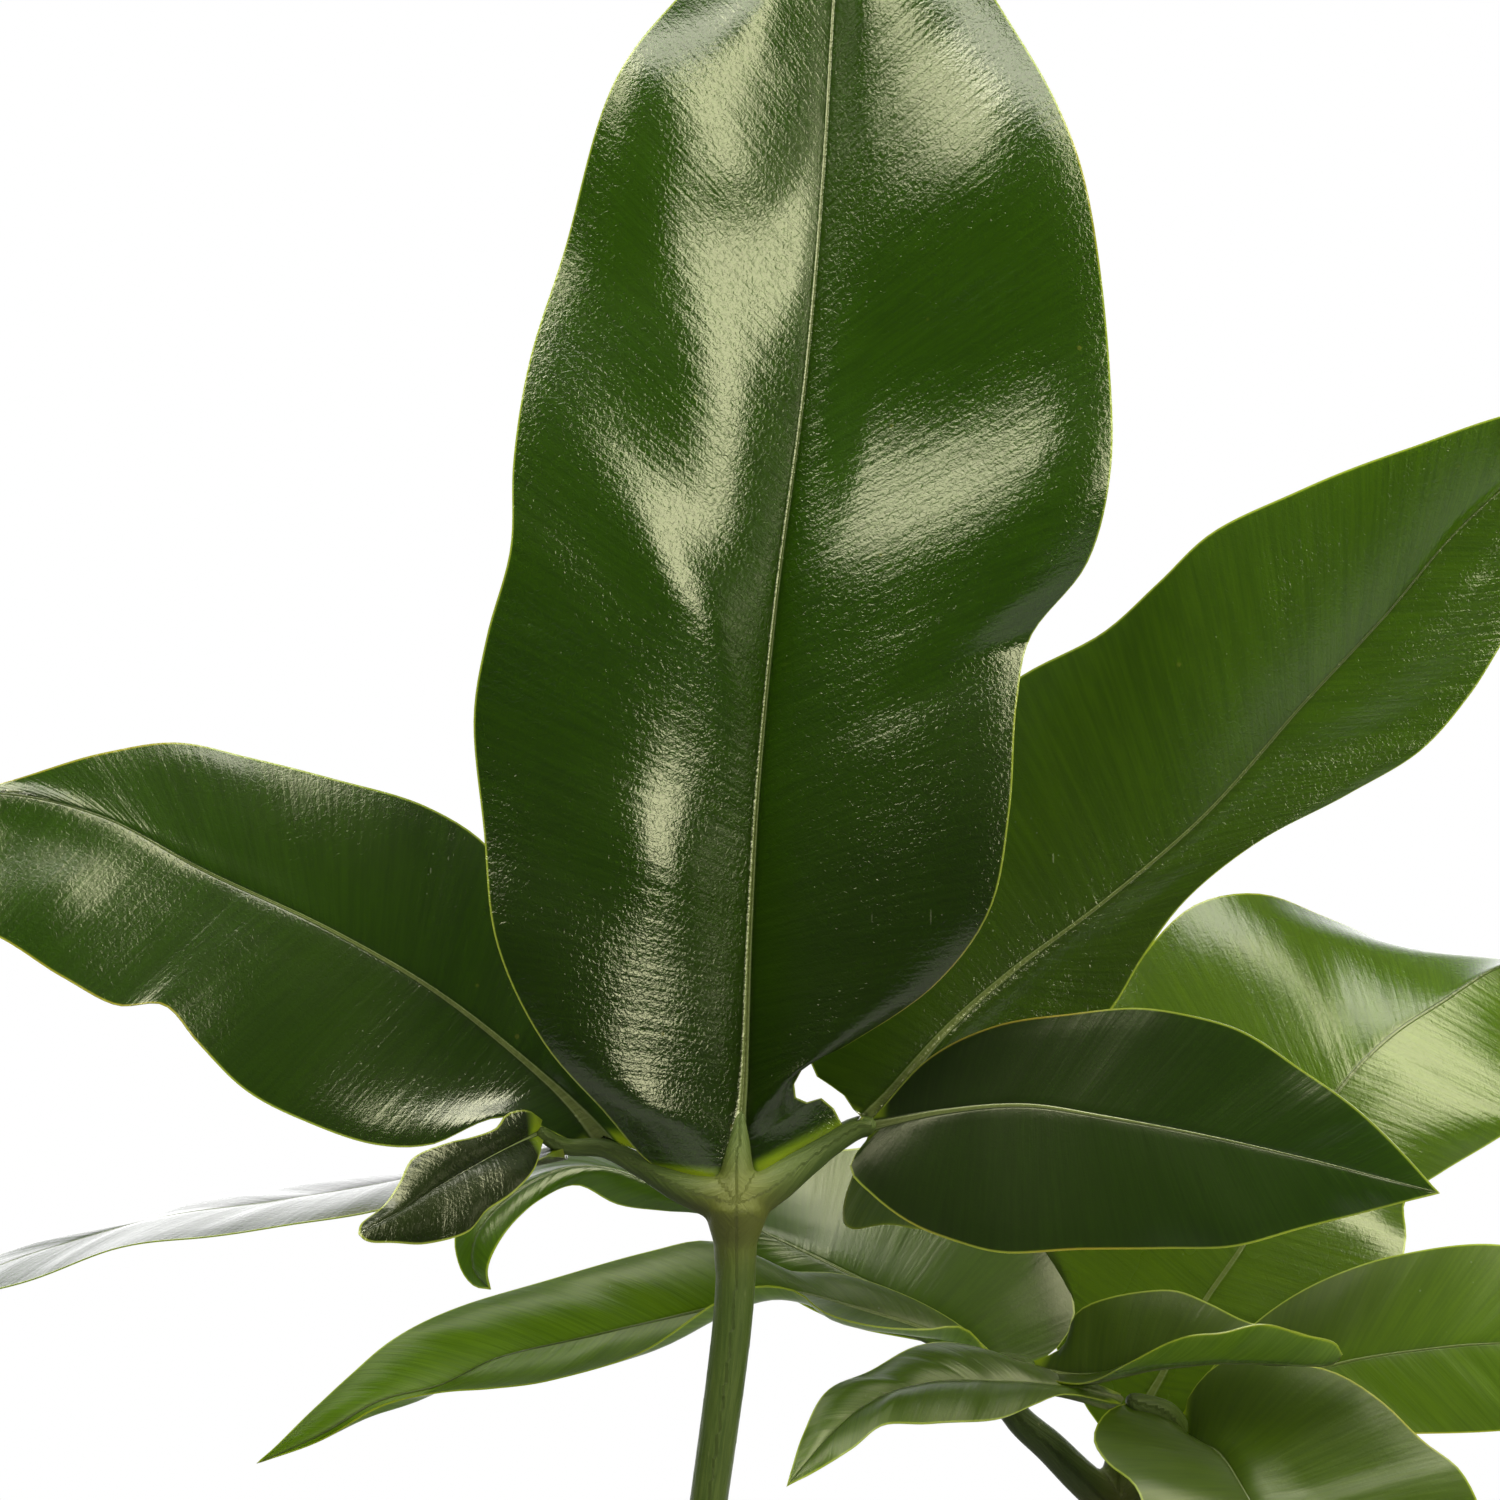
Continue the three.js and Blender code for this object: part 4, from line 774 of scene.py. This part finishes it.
def tube(shape, curve, radii, steps, sides, material, wobble=0.0, **numbers):
    """A round bar along a curve, with its radii read evenly from root to tip and rounded ends."""
    s = np.linspace(0, 1, steps + 1)
    heading = curve.heading(s)
    radius = along(radii, s) * (1 + wobble * np.sin(s * 37 + 1) * np.sin(s * 91))
    radius[[0, -1]] *= ROUNDED_END
    first = np.cross(heading[0], [0.3, 0.9, 0.2])
    normals = [first / np.linalg.norm(first)]
    for h in heading[1:]:
        turned = normals[-1] - h * (normals[-1] @ h)
        normals.append(turned / np.linalg.norm(turned))
    normals = np.array(normals)
    binormals = np.cross(heading, normals)
    around = np.tile(full_turn(sides) - np.pi, (steps + 1, 1))
    add_rings(shape, curve, s, normals, binormals, radius[:, None], around, material, **numbers)


def melted(curves, voxel, smoothing):
    """Points and faces of bars along curves, each with its radii, melted into one form with fillets."""
    sides, least_steps, smoothing_share = 20, 8, 0.5
    raw = Shape()
    for curve, radii in curves:
        tube(raw, curve, radii, max(least_steps, int(curve.length)), sides, 0)
    piece = raw.make("melting", [])
    remesh = piece.modifiers.new("remesh", "REMESH")
    remesh.mode = "VOXEL"
    remesh.voxel_size = voxel * MM
    smooth = piece.modifiers.new("smooth", "SMOOTH")
    smooth.iterations = smoothing
    smooth.factor = smoothing_share
    made = piece.evaluated_get(bpy.context.evaluated_depsgraph_get()).to_mesh()
    points = np.zeros(len(made.vertices) * 3)
    made.vertices.foreach_get("co", points)
    faces = [tuple(face.vertices) for face in made.polygons]
    piece.to_mesh_clear()
    bpy.data.objects.remove(piece)
    return points.reshape(-1, 3) / MM, faces


def fork(shape, curves, voxel, smoothing, pale_radius, seed):
    """The top of a stalk, the first curve, melted together with its arms, and paler about the joint."""
    points, faces = melted(curves, voxel, smoothing)
    centres = np.vstack([curve.samples for curve, _ in curves])
    headings = np.vstack([curve.heading(curve.places / curve.length) for curve, _ in curves])
    places = np.concatenate([curve.places for curve, _ in curves])
    tree = KDTree(len(centres))
    for index, centre in enumerate(centres):
        tree.insert(centre, index)
    tree.balance()
    nearest = np.array([tree.find(point)[1] for point in points])
    away, heading = points - centres[nearest], headings[nearest]
    side = np.cross(heading, [0.0, 1.0, 0.0])
    front = np.cross(side, heading)
    across = np.arctan2((away * side).sum(1), (away * front).sum(1)) * np.linalg.norm(away, axis=1)
    from_joint = np.linalg.norm(points - curves[0][0].at(1.0), axis=1)
    tone = np.exp(-((from_joint / pale_radius) ** 2))
    shape.add(points, faces, STALK_SKIN, across=across, station=places[nearest], tone=tone, seed=float(seed))


def stalk_with_arms(shape, curve, radii, arms, seed, top, counts, steps, sides, **fork_settings):
    """A stalk whose top, of a given length, is melted together with its arms. The rest runs on into it."""
    joint = 1 - top / curve.length
    low_shares = np.linspace(0, joint + 0.01, counts[0])
    top_shares = np.linspace(joint, 1, counts[1])
    lower, upper = Curve(curve.at(low_shares)), Curve(curve.at(top_shares))
    tube(shape, lower, along(radii, low_shares), steps, sides, STALK_SKIN, seed=float(seed))
    fork(shape, [(upper, along(radii, top_shares)), *arms], seed=seed, **fork_settings)


def place_piece(piece, node):
    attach(piece, "root")
    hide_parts(node)


def place_leaf(shape, name):
    place_piece(shape.make(name + "_fine", LEAF_MATERIALS), name)


def measured_leaf(name, leaflets, arms, origin, stalk, tones, seed):
    """A leaf of the photo, whose arms and leaflets are listed from its fork at the place named origin."""
    shape = Shape()
    routes = [(Curve(from_front(route, origin)), radii) for route, radii in arms]
    stalk_with_arms(
        shape, Curve(stalk), STALK_RADII, routes, seed,
        top=58, counts=(12, 8), steps=90, sides=28, voxel=0.5, smoothing=6, pale_radius=6.5,
    )
    for k, (part, leaflet) in enumerate(leaflets.items()):
        curves = {key: from_front([*leaflet[key], leaflet["tip"]], origin) for key in ("rib", *SIDES)}
        blade(shape, {**leaflet, **curves}, tones.get(part, tones["all"]), seed + k)
    place_leaf(shape, name)


# Leaves that the photo doesn't show, each grown from a few sizes
WIDTH_SHARES = [0.1, 0.55, 0.86, 0.98, 1, 0.93, 0.76, 0.48, 0]
LEAFLET_WIDTH = 0.19
LEAFLET_ARCH = 0.22
LEAST_DROOP = 0.12
MOST_DROOP = 0.22
MOST_SWAY = 0.06
TROUGH_ANGLE = 0.3
SHORTENING = 0.05
EDGE_LAG = 0.03
SHINGLE = 0.34
FIRST_TURN = 0.1
TURN_BETWEEN_LEAFLETS = 0.68
LENGTH_LOSS = 0.17
GROWN_STALK_RADII = [3.6, 3.5, 3.1, 2.8, 2.6, 2.6]
GROWN_ARM = [(-3, 0), (0, 6), (-5, 13), (-14, 16)]
GROWN_ARM_RADII = [2.4, 2, 1.7, 1.4]
GROWN = [
    dict(name="leaf_c", azimuth=128, reach=120, up=392, tilt=-8, length=162, pairs=3, seed=3,
         foot=(8, 194), tone=0.25),
    dict(name="leaf_d", azimuth=62, reach=140, up=350, tilt=-14, length=158, pairs=3, seed=5,
         foot=(9, 184), tone=0.1),
    dict(name="leaf_e", azimuth=196, reach=150, up=340, tilt=-12, length=164, pairs=3, seed=8,
         foot=(9, 186), tone=0.3),
    dict(name="leaf_f", azimuth=-38, reach=150, up=330, tilt=-10, length=140, pairs=2, seed=13,
         foot=(9, 178), tone=0.15),
    dict(name="leaf_g", azimuth=-112, reach=120, up=290, tilt=-10, length=130, pairs=2, seed=21,
         foot=(9, 170), tone=0.05),
]


def turned_about(vector, axis, angle):
    return (
        vector * math.cos(angle)
        + np.cross(axis, vector) * math.sin(angle)
        + axis * (axis @ vector) * (1 - math.cos(angle))
    )


def grown_leaflet(root, heading, face, length, draw):
    """It leaves root along heading, arches over and droops at its tip."""
    sideways = np.cross(heading, face)
    sideways /= np.linalg.norm(sideways)
    droop = LEAST_DROOP + (MOST_DROOP - LEAST_DROOP) * draw()
    sway = 2 * MOST_SWAY * (draw() - 0.5)

    def place(s, share, side):
        width = share * LEAFLET_WIDTH * length
        on = length * (s * (1 - SHORTENING * s) - EDGE_LAG * share)
        out = length * sway * s * s + side * width * math.cos(TROUGH_ANGLE)
        up = length * (LEAFLET_ARCH * s - (LEAFLET_ARCH + droop) * s * s)
        raised = width * math.sin(TROUGH_ANGLE) * (1 - 0.9 * s)
        return root + heading * on + sideways * out + face * (up + raised)

    last = len(WIDTH_SHARES) - 1
    rib = [place(i / last, 0, 0) for i in range(last + 1)]
    left, right = (
        [place(i / last, share, side) for i, share in enumerate(WIDTH_SHARES)]
        for side in (-1, 1)
    )
    return dict(
        rows=46, columns=12, belly=[0.12, 0.12], wave=1.6, waves=2.5 + draw(), phase=draw(),
        rib_size=length / 190, rib=rib, left=left, right=right,
    )


def grown_leaf(name, azimuth, reach, up, tilt, length, pairs, seed, foot, tone):
    """A leaf whose fork is at a reach from the pot's axis and at a height, with a tilted middle leaflet of a
    given length and pairs of shorter ones on its two arms."""
    draw = seeded(seed)
    inner, foot_z = foot
    away = np.array([math.cos(math.radians(azimuth)), math.sin(math.radians(azimuth)), 0])
    level = np.array([0, 0, 1.0])
    joint = away * reach + level * up
    heading = away * math.cos(math.radians(tilt)) + level * math.sin(math.radians(tilt))
    sideways = np.array([away[1], -away[0], 0])
    face = np.cross(sideways, heading)
    stalk = Curve([
        away * inner + level * foot_z,
        away * (inner + 10) + level * (foot_z + 30),
        away * (reach * 0.42 + 4) + level * (foot_z + (up - foot_z) * 0.55),
        away * reach * 0.86 + level * (foot_z + (up - foot_z) * 0.96),
        joint,
    ])
    arms = {
        side: Curve([joint + heading * on + sideways * (out * side) for on, out in GROWN_ARM])
        for side in (-1, 1)
    }
    shape = Shape()
    routes = [(arm, GROWN_ARM_RADII) for arm in arms.values()]
    stalk_with_arms(
        shape, stalk, GROWN_STALK_RADII, routes, seed,
        top=24, counts=(10, 6), steps=60, sides=20, voxel=0.6, smoothing=4, pale_radius=6,
    )

    def add(root, turn, share, k):
        turned = heading * math.cos(turn) + sideways * math.sin(turn)
        roll = -math.copysign(SHINGLE, turn) if share < 1 else 0
        size = length * share * (0.94 + 0.12 * draw())
        spec = grown_leaflet(root, turned, turned_about(face, turned, roll), size, draw)
        blade(shape, spec, tone, seed * 10 + k)

    add(joint, 0.1 * (draw() - 0.5), 1, 0)
    for side, arm in arms.items():
        for k in range(1, pairs + 1):
            turn = side * (FIRST_TURN + k * TURN_BETWEEN_LEAFLETS + 0.08 * (draw() - 0.5))
            root = arm.at(min(0.3 + 0.33 * (k - 1), 0.98))
            add(root, turn, 1.02 - LENGTH_LOSS * k, 2 * k + (side > 0))
    place_leaf(shape, name)


def rolled_leaf():
    """The next leaf: a blade rolled round itself into a spear, with its free margin winding up it."""
    curve = Curve([[-1, 1, 212], [-2, 3, 260], [-6, 9, 320], [-9, 14, 372]])
    radii = [4, 4.2, 4.6, 4.4, 3.4, 2, 0.5]
    seam_start, seam_winding, inner_share = 2.4, 3.2, 0.85
    rows, sides = 90, 48
    s = np.linspace(0, 1, rows)
    heading = curve.heading(s)
    first = np.cross(heading, [0.0, 1.0, 0.0])
    first /= np.linalg.norm(first, axis=1, keepdims=True)
    second = np.cross(heading, first)
    seam = (full_turn(sides) - seam_start - seam_winding * s[:, None]) % (2 * np.pi)
    radius = along(radii, s)[:, None] * (inner_share + (1 - inner_share) * seam / (2 * np.pi))
    rim = np.append(np.minimum(seam, 2 * np.pi - seam).ravel() * 4, [FAR_FROM_MARGIN] * 2)
    numbers = {"rim": rim, "rib": 9.0, "tone": 1.0, "seed": 77.0}
    shape = Shape()
    add_rings(shape, curve, s, first, second, radius, seam - 0.5, UPPER_FACE, **numbers)
    place_leaf(shape, "rolled_leaf")


# The pot, the mix, and the stem with its air roots

def plastic_material():
    """Black moulded plastic, satin, a little dusty, with faint scuffs."""
    g = Graph(bpy.data.materials.new("pot_plastic"))
    place = g.place()
    scuffs = g.range(g.noise(g.drawn_out(6), 60.0, detail=5.0, roughness=0.7), 0.55, 0.75)
    dust = g.range(g.noise(place, 18.0, detail=4.0, roughness=0.6), 0.45, 0.75, 0.0, 0.35)
    colour = g.mix(g.times(scuffs, 0.5), (0.014, 0.0145, 0.014), (0.05, 0.05, 0.047))
    colour = g.mix(dust, colour, (0.075, 0.066, 0.052))
    grain = g.noise(place, 2400.0, detail=1.0)
    rings = g.math("SINE", g.times(g.node("SeparateXYZ", {0: place}, "Z"), 2400.0))
    height = g.add(g.times(grain, 0.00005), g.times(rings, 0.000008))
    roughness = g.range(scuffs, 0.0, 1.0, 0.38, 0.55)
    return g.finish(g.principled(colour, Roughness=roughness, Normal=g.bump(height)))


def crumb_material(name, dark, light, roughness, scale):
    """Bark, coir or perlite: patchy, with its own shade for each piece."""
    g = Graph(bpy.data.materials.new(name))
    patches = g.noise(g.place(), scale, detail=5.0, roughness=0.65)
    own = g.noise(g.vector(g.number("seed")), 1.0)
    colour = g.mix(g.range(patches, 0.3, 0.7), dark, light)
    colour = g.mix(g.range(own, 0.3, 0.7, 0.0, 0.6), colour, dark)
    return g.finish(g.principled(colour, Roughness=roughness, Normal=g.bump(g.times(patches, 0.0011))))


def bark_material(name, skin):
    """Old stem or root: its skin has corky patches, dark rings and pale fibres."""
    g = Graph(bpy.data.materials.new(name))
    fine = g.noise(g.drawn_out(0.3), 520.0, 4.0, 0.65)
    patches = g.noise(g.place(), 75.0, detail=4.0, roughness=0.6)
    rings = g.noise(g.vector(g.number("station"), g.number("seed")), 0.9, detail=3.0, roughness=0.7)
    colour = g.mix(g.range(patches, 0.35, 0.62), skin, (0.17, 0.115, 0.06))
    colour = g.mix(g.range(rings, 0.5, 0.7, 0.0, 0.7), colour, (0.07, 0.045, 0.025))
    colour = g.mix(g.range(fine, 0.5, 0.7, 0.0, 0.5), colour, (0.33, 0.27, 0.17))
    height = g.add(g.times(fine, 0.0005), g.times(rings, 0.0004))
    return g.finish(g.principled(colour, Roughness=0.72, Normal=g.bump(height)))


def add_turned(shape, radius, z, ends, sides, from_above=False, **numbers):
    """A closed form about the pot's axis: rings of points, and the two heights where it meets the axis. Its
    faces look outward if the rings start from below, or, when it says so, from above."""
    turn = full_turn(sides)
    points = np.stack(np.broadcast_arrays(radius * np.cos(turn), radius * np.sin(turn), z), -1)
    points = np.vstack([points.reshape(-1, 3), *([0, 0, end] for end in ends)])
    faces = round_faces(len(radius), sides)
    if from_above:
        faces = [(face[0], *face[:0:-1]) for face in faces]
    shape.add(points, faces, 0, **numbers)


def pot_outer(z):
    return POT_BASE_RADIUS + (POT_TOP_RADIUS - POT_BASE_RADIUS) * z / POT_HEIGHT


def pot_profile():
    """Points [radius, z] of the pot, from the middle of its underside round the rim to the middle inside."""
    step = POT_HEIGHT - RIM_HEIGHT
    rim_low, rim_out = pot_outer(step) + RIM_OVERHANG, POT_TOP_RADIUS + RIM_OVERHANG
    foot = [
        [0, 0], [40, 0], [POT_BASE_RADIUS - 3.5, 0], [POT_BASE_RADIUS - 1.6, 0.4],
        [POT_BASE_RADIUS - 0.4, 1.4], [pot_outer(2.6), 2.6],
    ]
    wall = [[pot_outer(z), z] for z in [*np.linspace(4, step - 5, 24), step - 3]]
    rim = [
        [pot_outer(step) + 0.5, step - 1.2], [pot_outer(step) + 1.8, step - 0.4], [rim_low - 1.6, step],
        [rim_low - 0.5, step + 0.3], [rim_low, step + 1.2], [rim_low + 0.25, step + 3],
        [rim_out - 0.3, POT_HEIGHT - 4], [rim_out, POT_HEIGHT - 2.2], [rim_out - 0.25, POT_HEIGHT - 1.1],
        [rim_out - 1.1, POT_HEIGHT - 0.3], [rim_out - 2.2, POT_HEIGHT],
        [POT_TOP_RADIUS + 0.4, POT_HEIGHT - 0.2], [POT_TOP_RADIUS - 1.0, POT_HEIGHT - 0.7],
        [POT_TOP_RADIUS - 1.9, POT_HEIGHT - 2],
    ]
    inside = [
        [pot_outer(150) - POT_WALL, 150], [pot_outer(POT_FLOOR + 3) - POT_WALL, POT_FLOOR + 3],
        [pot_outer(POT_FLOOR) - POT_WALL - 2, POT_FLOOR], [0, POT_FLOOR],
    ]
    return np.array(foot + wall + rim + inside, float)


def make_pot():
    profile = pot_profile()
    shape = Shape()
    add_turned(shape, profile[1:-1, :1], profile[1:-1, 1:], profile[[0, -1], 1], 160)
    pot = shape.make("pot_fine", [plastic_material()])
    drills = Shape()
    for k in range(DRAIN_HOLES):
        turn = 2 * math.pi * k / DRAIN_HOLES
        x, y = DRAIN_CIRCLE * math.cos(turn), DRAIN_CIRCLE * math.sin(turn)
        tube(drills, Curve([[x, y, -5], [x, y, 0], [x, y, 8]]), [DRAIN_RADIUS] * 2, 8, 40, 0)
    drill = drills.make("drill", [])
    cut = pot.modifiers.new("drain_holes", "BOOLEAN")
    cut.operation, cut.object, cut.solver = "DIFFERENCE", drill, "EXACT"
    drilled = bpy.data.meshes.new_from_object(pot.evaluated_get(bpy.context.evaluated_depsgraph_get()))
    pot.modifiers.remove(cut)
    pot.data = drilled
    bpy.data.objects.remove(drill)
    place_piece(pot, "pot")


MIX_FLOOR = POT_FLOOR + MIX_GAP
MIX_LOW_RADIUS = pot_outer(MIX_FLOOR) - POT_WALL - MIX_GAP
MIX_RADIUS = pot_outer(MIX_TOP - MIX_EDGE_DROP) - POT_WALL - MIX_GAP

# What lies on the mix: how many, of which material, the least and the greatest size, the shares of that size
# along three axes, and how lumpy
CRUMB, BARK, PERLITE = range(3)
LOOSE = [
    (520, BARK, (3.2, 9.0), (1.0, 0.55, 0.28), 0.5),
    (1100, CRUMB, (1.2, 3.4), (1.0, 0.8, 0.7), 0.7),
    (260, PERLITE, (1.6, 3.6), (1.0, 0.9, 0.8), 0.5),
]


def mix_height(x, y):
    """Height of the crumbly top of the mix, which is calm and lower at the pot's wall."""
    share = np.clip(np.hypot(x, y) / MIX_RADIUS, 0, 1)
    calm = 1 - smoothstep(0.9, 1, share)
    crumbs = 1.2 * np.sin(0.31 * x + 1) * np.cos(0.27 * y) + 0.8 * np.sin(0.83 * x + 0.71 * y)
    fine = 0.6 * np.sin(1.9 * x + 0.4 * y) * np.sin(1.3 * y - 0.7 * x + 2)
    fine = fine + 0.35 * np.sin(3.1 * x) * np.sin(2.7 * y)
    return MIX_TOP + (crumbs + fine) * calm - MIX_EDGE_DROP * share**2


def pebble(draw, stretch, rough):
    """Points and faces of a small lumpy stone, chip or crumb about 1 mm across before it is stretched."""
    rings, sides = 5, 8
    points = [[0, 0, -0.5]]
    for r in range(1, rings):
        slope = math.pi * r / rings - math.pi / 2
        for k in range(sides):
            turn = 2 * math.pi * k / sides
            x, y = math.cos(turn) * math.cos(slope) / 2, math.sin(turn) * math.cos(slope) / 2
            points.append([x, y, math.sin(slope) / 2])
    points.append([0, 0, 0.5])
    points = np.array(points) * (1 + rough * (draw.random((len(points), 1)) - 0.5)) * stretch
    last = len(points) - 1
    faces = [(0, 1 + (k + 1) % sides, 1 + k) for k in range(sides)]
    faces += [tuple(f + 1) for f in grid_faces(rings - 1, sides, around=True)]
    faces += [(last, last - sides + k, last - sides + (k + 1) % sides) for k in range(sides)]
    turn, tip = draw.random() * 2 * math.pi, (draw.random() - 0.5) * 1.4
    c, s = math.cos(tip), math.sin(tip)
    tipped = points @ np.array([[1, 0, 0], [0, c, s], [0, -s, c]])
    c, s = math.cos(turn), math.sin(turn)
    return tipped @ np.array([[c, s, 0], [-s, c, 0], [0, 0, 1]]), faces


def scatter(shape, draw):
    """Bark chips, coir crumbs and perlite lying on the mix."""
    for count, material, (small, large), stretch, rough in LOOSE:
        for k in range(count):
            far = MIX_RADIUS * math.sqrt(draw.random()) * 0.97
            turn = 2 * math.pi * draw.random()
            size = small + (large - small) * draw.random() ** 2
            x, y = min(far, MIX_RADIUS - size * 0.55) * np.array([math.cos(turn), math.sin(turn)])
            points, faces = pebble(draw, size * np.array(stretch), rough)
            z = mix_height(x, y) + size * stretch[2] * (0.1 + 0.25 * draw.random())
            shape.add(points + [x, y, z], faces, material, seed=float(k))


def make_mix():
    rings, sides = 70, 200
    turn = full_turn(sides)
    radius = MIX_RADIUS * np.linspace(0, 1, rings + 1)[1:, None]
    top = mix_height(radius * np.cos(turn), radius * np.sin(turn))
    z = np.vstack([top, np.full(sides, MIX_FLOOR)])
    shape = Shape()
    ends = [mix_height(0, 0), MIX_FLOOR]
    add_turned(shape, np.vstack([radius, [MIX_LOW_RADIUS]]), z, ends, sides, from_above=True)
    scatter(shape, np.random.default_rng(MIX_SEED))
    piece = shape.make("potting_mix_fine", [
        crumb_material("mix_crumbs", (0.010, 0.006, 0.004), (0.045, 0.026, 0.014), 0.95, 420.0),
        crumb_material("bark_chips", (0.045, 0.022, 0.010), (0.17, 0.085, 0.040), 0.85, 260.0),
        crumb_material("perlite", (0.50, 0.48, 0.43), (0.78, 0.76, 0.72), 0.9, 600.0),
    ])
    place_piece(piece, "potting_mix")


def bell(x, width):
    return np.exp(-((x / width) ** 2))


def stem_radius(s, turn):
    """The stem tapers, closes over its top, and has a ring and a bud where each old leaf fell."""
    past_shoulder = np.maximum(s - 0.86, 0)
    rounding = np.sqrt(np.clip(1 - (past_shoulder / 0.16) ** 2, 0, 1)) ** 0.5
    radius = (STEM_RADIUS + 3 - 3.5 * s) * rounding
    for k in range(LEAF_SCARS):
        above = s - ((k + 1) / 10 + 0.022 * np.cos(turn - 2.4 * k))
        radius = radius + 0.8 * bell(above, 0.011) - 0.35 * bell(above + 0.03, 0.01)
        beside = (1 - np.cos(turn - 2.4 * k - 0.4)) / 0.03
        radius = radius + 1.3 * np.exp(-(((above - 0.03) / 0.016) ** 2) - beside)
    return radius + 0.35 * np.sin(5 * turn + 9 * s) + 0.2 * np.sin(11 * turn - 31 * s)


def add_air_root(shape, k):
    turn = math.radians(40 + 97 * k)
    spread = 26 + 5 * math.sin(k * 2.3)
    top = 196 - 2 * k
    route = [[8, top], [spread - 6, top - 6], [spread, MIX_TOP], [spread + 3, 146]]
    curve = Curve([[out * math.cos(turn), out * math.sin(turn), z] for out, z in route])
    radii = AIR_ROOT_RADIUS * np.array([1.35, 1.05, 1, 0.9, 0.8])
    tube(shape, curve, radii, 120, 24, 1, wobble=0.06, seed=float(k))


def make_stem():
    rows, sides = 220, 96
    s = np.linspace(0, 1, rows)[:, None]
    height = (STEM_TOP - STEM_FOOT) * s
    station = np.append(np.repeat(height, sides), [0, 0])
    ends = [STEM_FOOT, STEM_TOP + 0.5]
    shape = Shape()
    add_turned(shape, stem_radius(s, full_turn(sides)), STEM_FOOT + height, ends, sides, station=station)
    for k in range(AIR_ROOTS):
        add_air_root(shape, k)
    piece = shape.make("stem_fine", [
        bark_material("stem_skin", (0.13, 0.16, 0.045)),
        bark_material("root_skin", (0.30, 0.22, 0.12)),
    ])
    place_piece(piece, "stem")


# Camera, light and floor

def add_camera():
    camera = add_object("camera", bpy.data.cameras.new("camera"))
    camera.data.lens = LENS
    camera.data.sensor_width = SENSOR_WIDTH
    camera.location = MEASURING_POINT * MM
    camera.rotation_euler = (math.pi / 2, 0, 0)
    bpy.context.scene.camera = camera


def add_softbox(name, azimuth, elevation, distance, size, radiance, colour):
    """A soft light that faces the front leaf and stays out of the camera's sight."""
    turn, rise = math.radians(azimuth), math.radians(elevation)
    away = Vector((math.sin(turn) * math.cos(rise), -math.cos(turn) * math.cos(rise), math.sin(rise)))
    light = bpy.data.lights.new(name, "AREA")
    light.shape = "RECTANGLE"
    light.size, light.size_y = size
    light.energy = radiance * math.pi * size[0] * size[1]
    light.color = colour
    lamp = add_object(name, light)
    lamp.location = LIT_POINT + away * distance
    lamp.rotation_euler = (-away).to_track_quat("-Z", "Y").to_euler()
    lamp.visible_camera = False


def add_world():
    """White behind the plant, dimmer on the camera's side, and plain white where the camera sees it."""
    g = Graph(bpy.data.worlds.new("studio"), "OutputWorld")
    backwards = g.node("SeparateXYZ", {0: g.node("TexCoord", output="Generated")}, "Y")
    lit = g.node("Background", {"Strength": g.range(backwards, *BACKDROP_RISES_OVER, *BACKDROP_STRENGTHS)})
    seen = g.node("Background", {"Color": (1, 1, 1)})
    bpy.context.scene.world = g.finish(g.blend(g.node("LightPath", output="Is Camera Ray"), lit, seen))


def add_floor():
    """A pale floor that fades out into the white."""
    g = Graph(bpy.data.materials.new("pale_floor"))
    distance = g.node("VectorMath", {0: g.place()}, "Value", operation="LENGTH")
    surface = g.principled((0.30, 0.30, 0.36), Roughness=0.8)
    faded = g.blend(g.range(distance, *FLOOR_FADES_OVER), surface, g.node("BsdfTransparent"))
    bpy.ops.mesh.primitive_circle_add(vertices=96, radius=FLOOR_RADIUS, fill_type="NGON")
    floor = bpy.context.object
    floor.name = "floor"
    floor.data.materials.append(g.finish(faded))


measured_leaf("leaf_a", LEAF_A, ARMS_A, AT_FORK_A, STALK_A, TONES_A, 100)
measured_leaf("leaf_b", LEAF_B, ARMS_B, AT_FORK_B, STALK_B, TONES_B, 120)
for sizes in GROWN:
    grown_leaf(**sizes)
rolled_leaf()
make_pot()
make_mix()
make_stem()
add_camera()
for name, settings in SOFTBOXES.items():
    add_softbox(name, *settings)
add_world()
add_floor()
bpy.context.scene.view_settings.view_transform = "Standard"
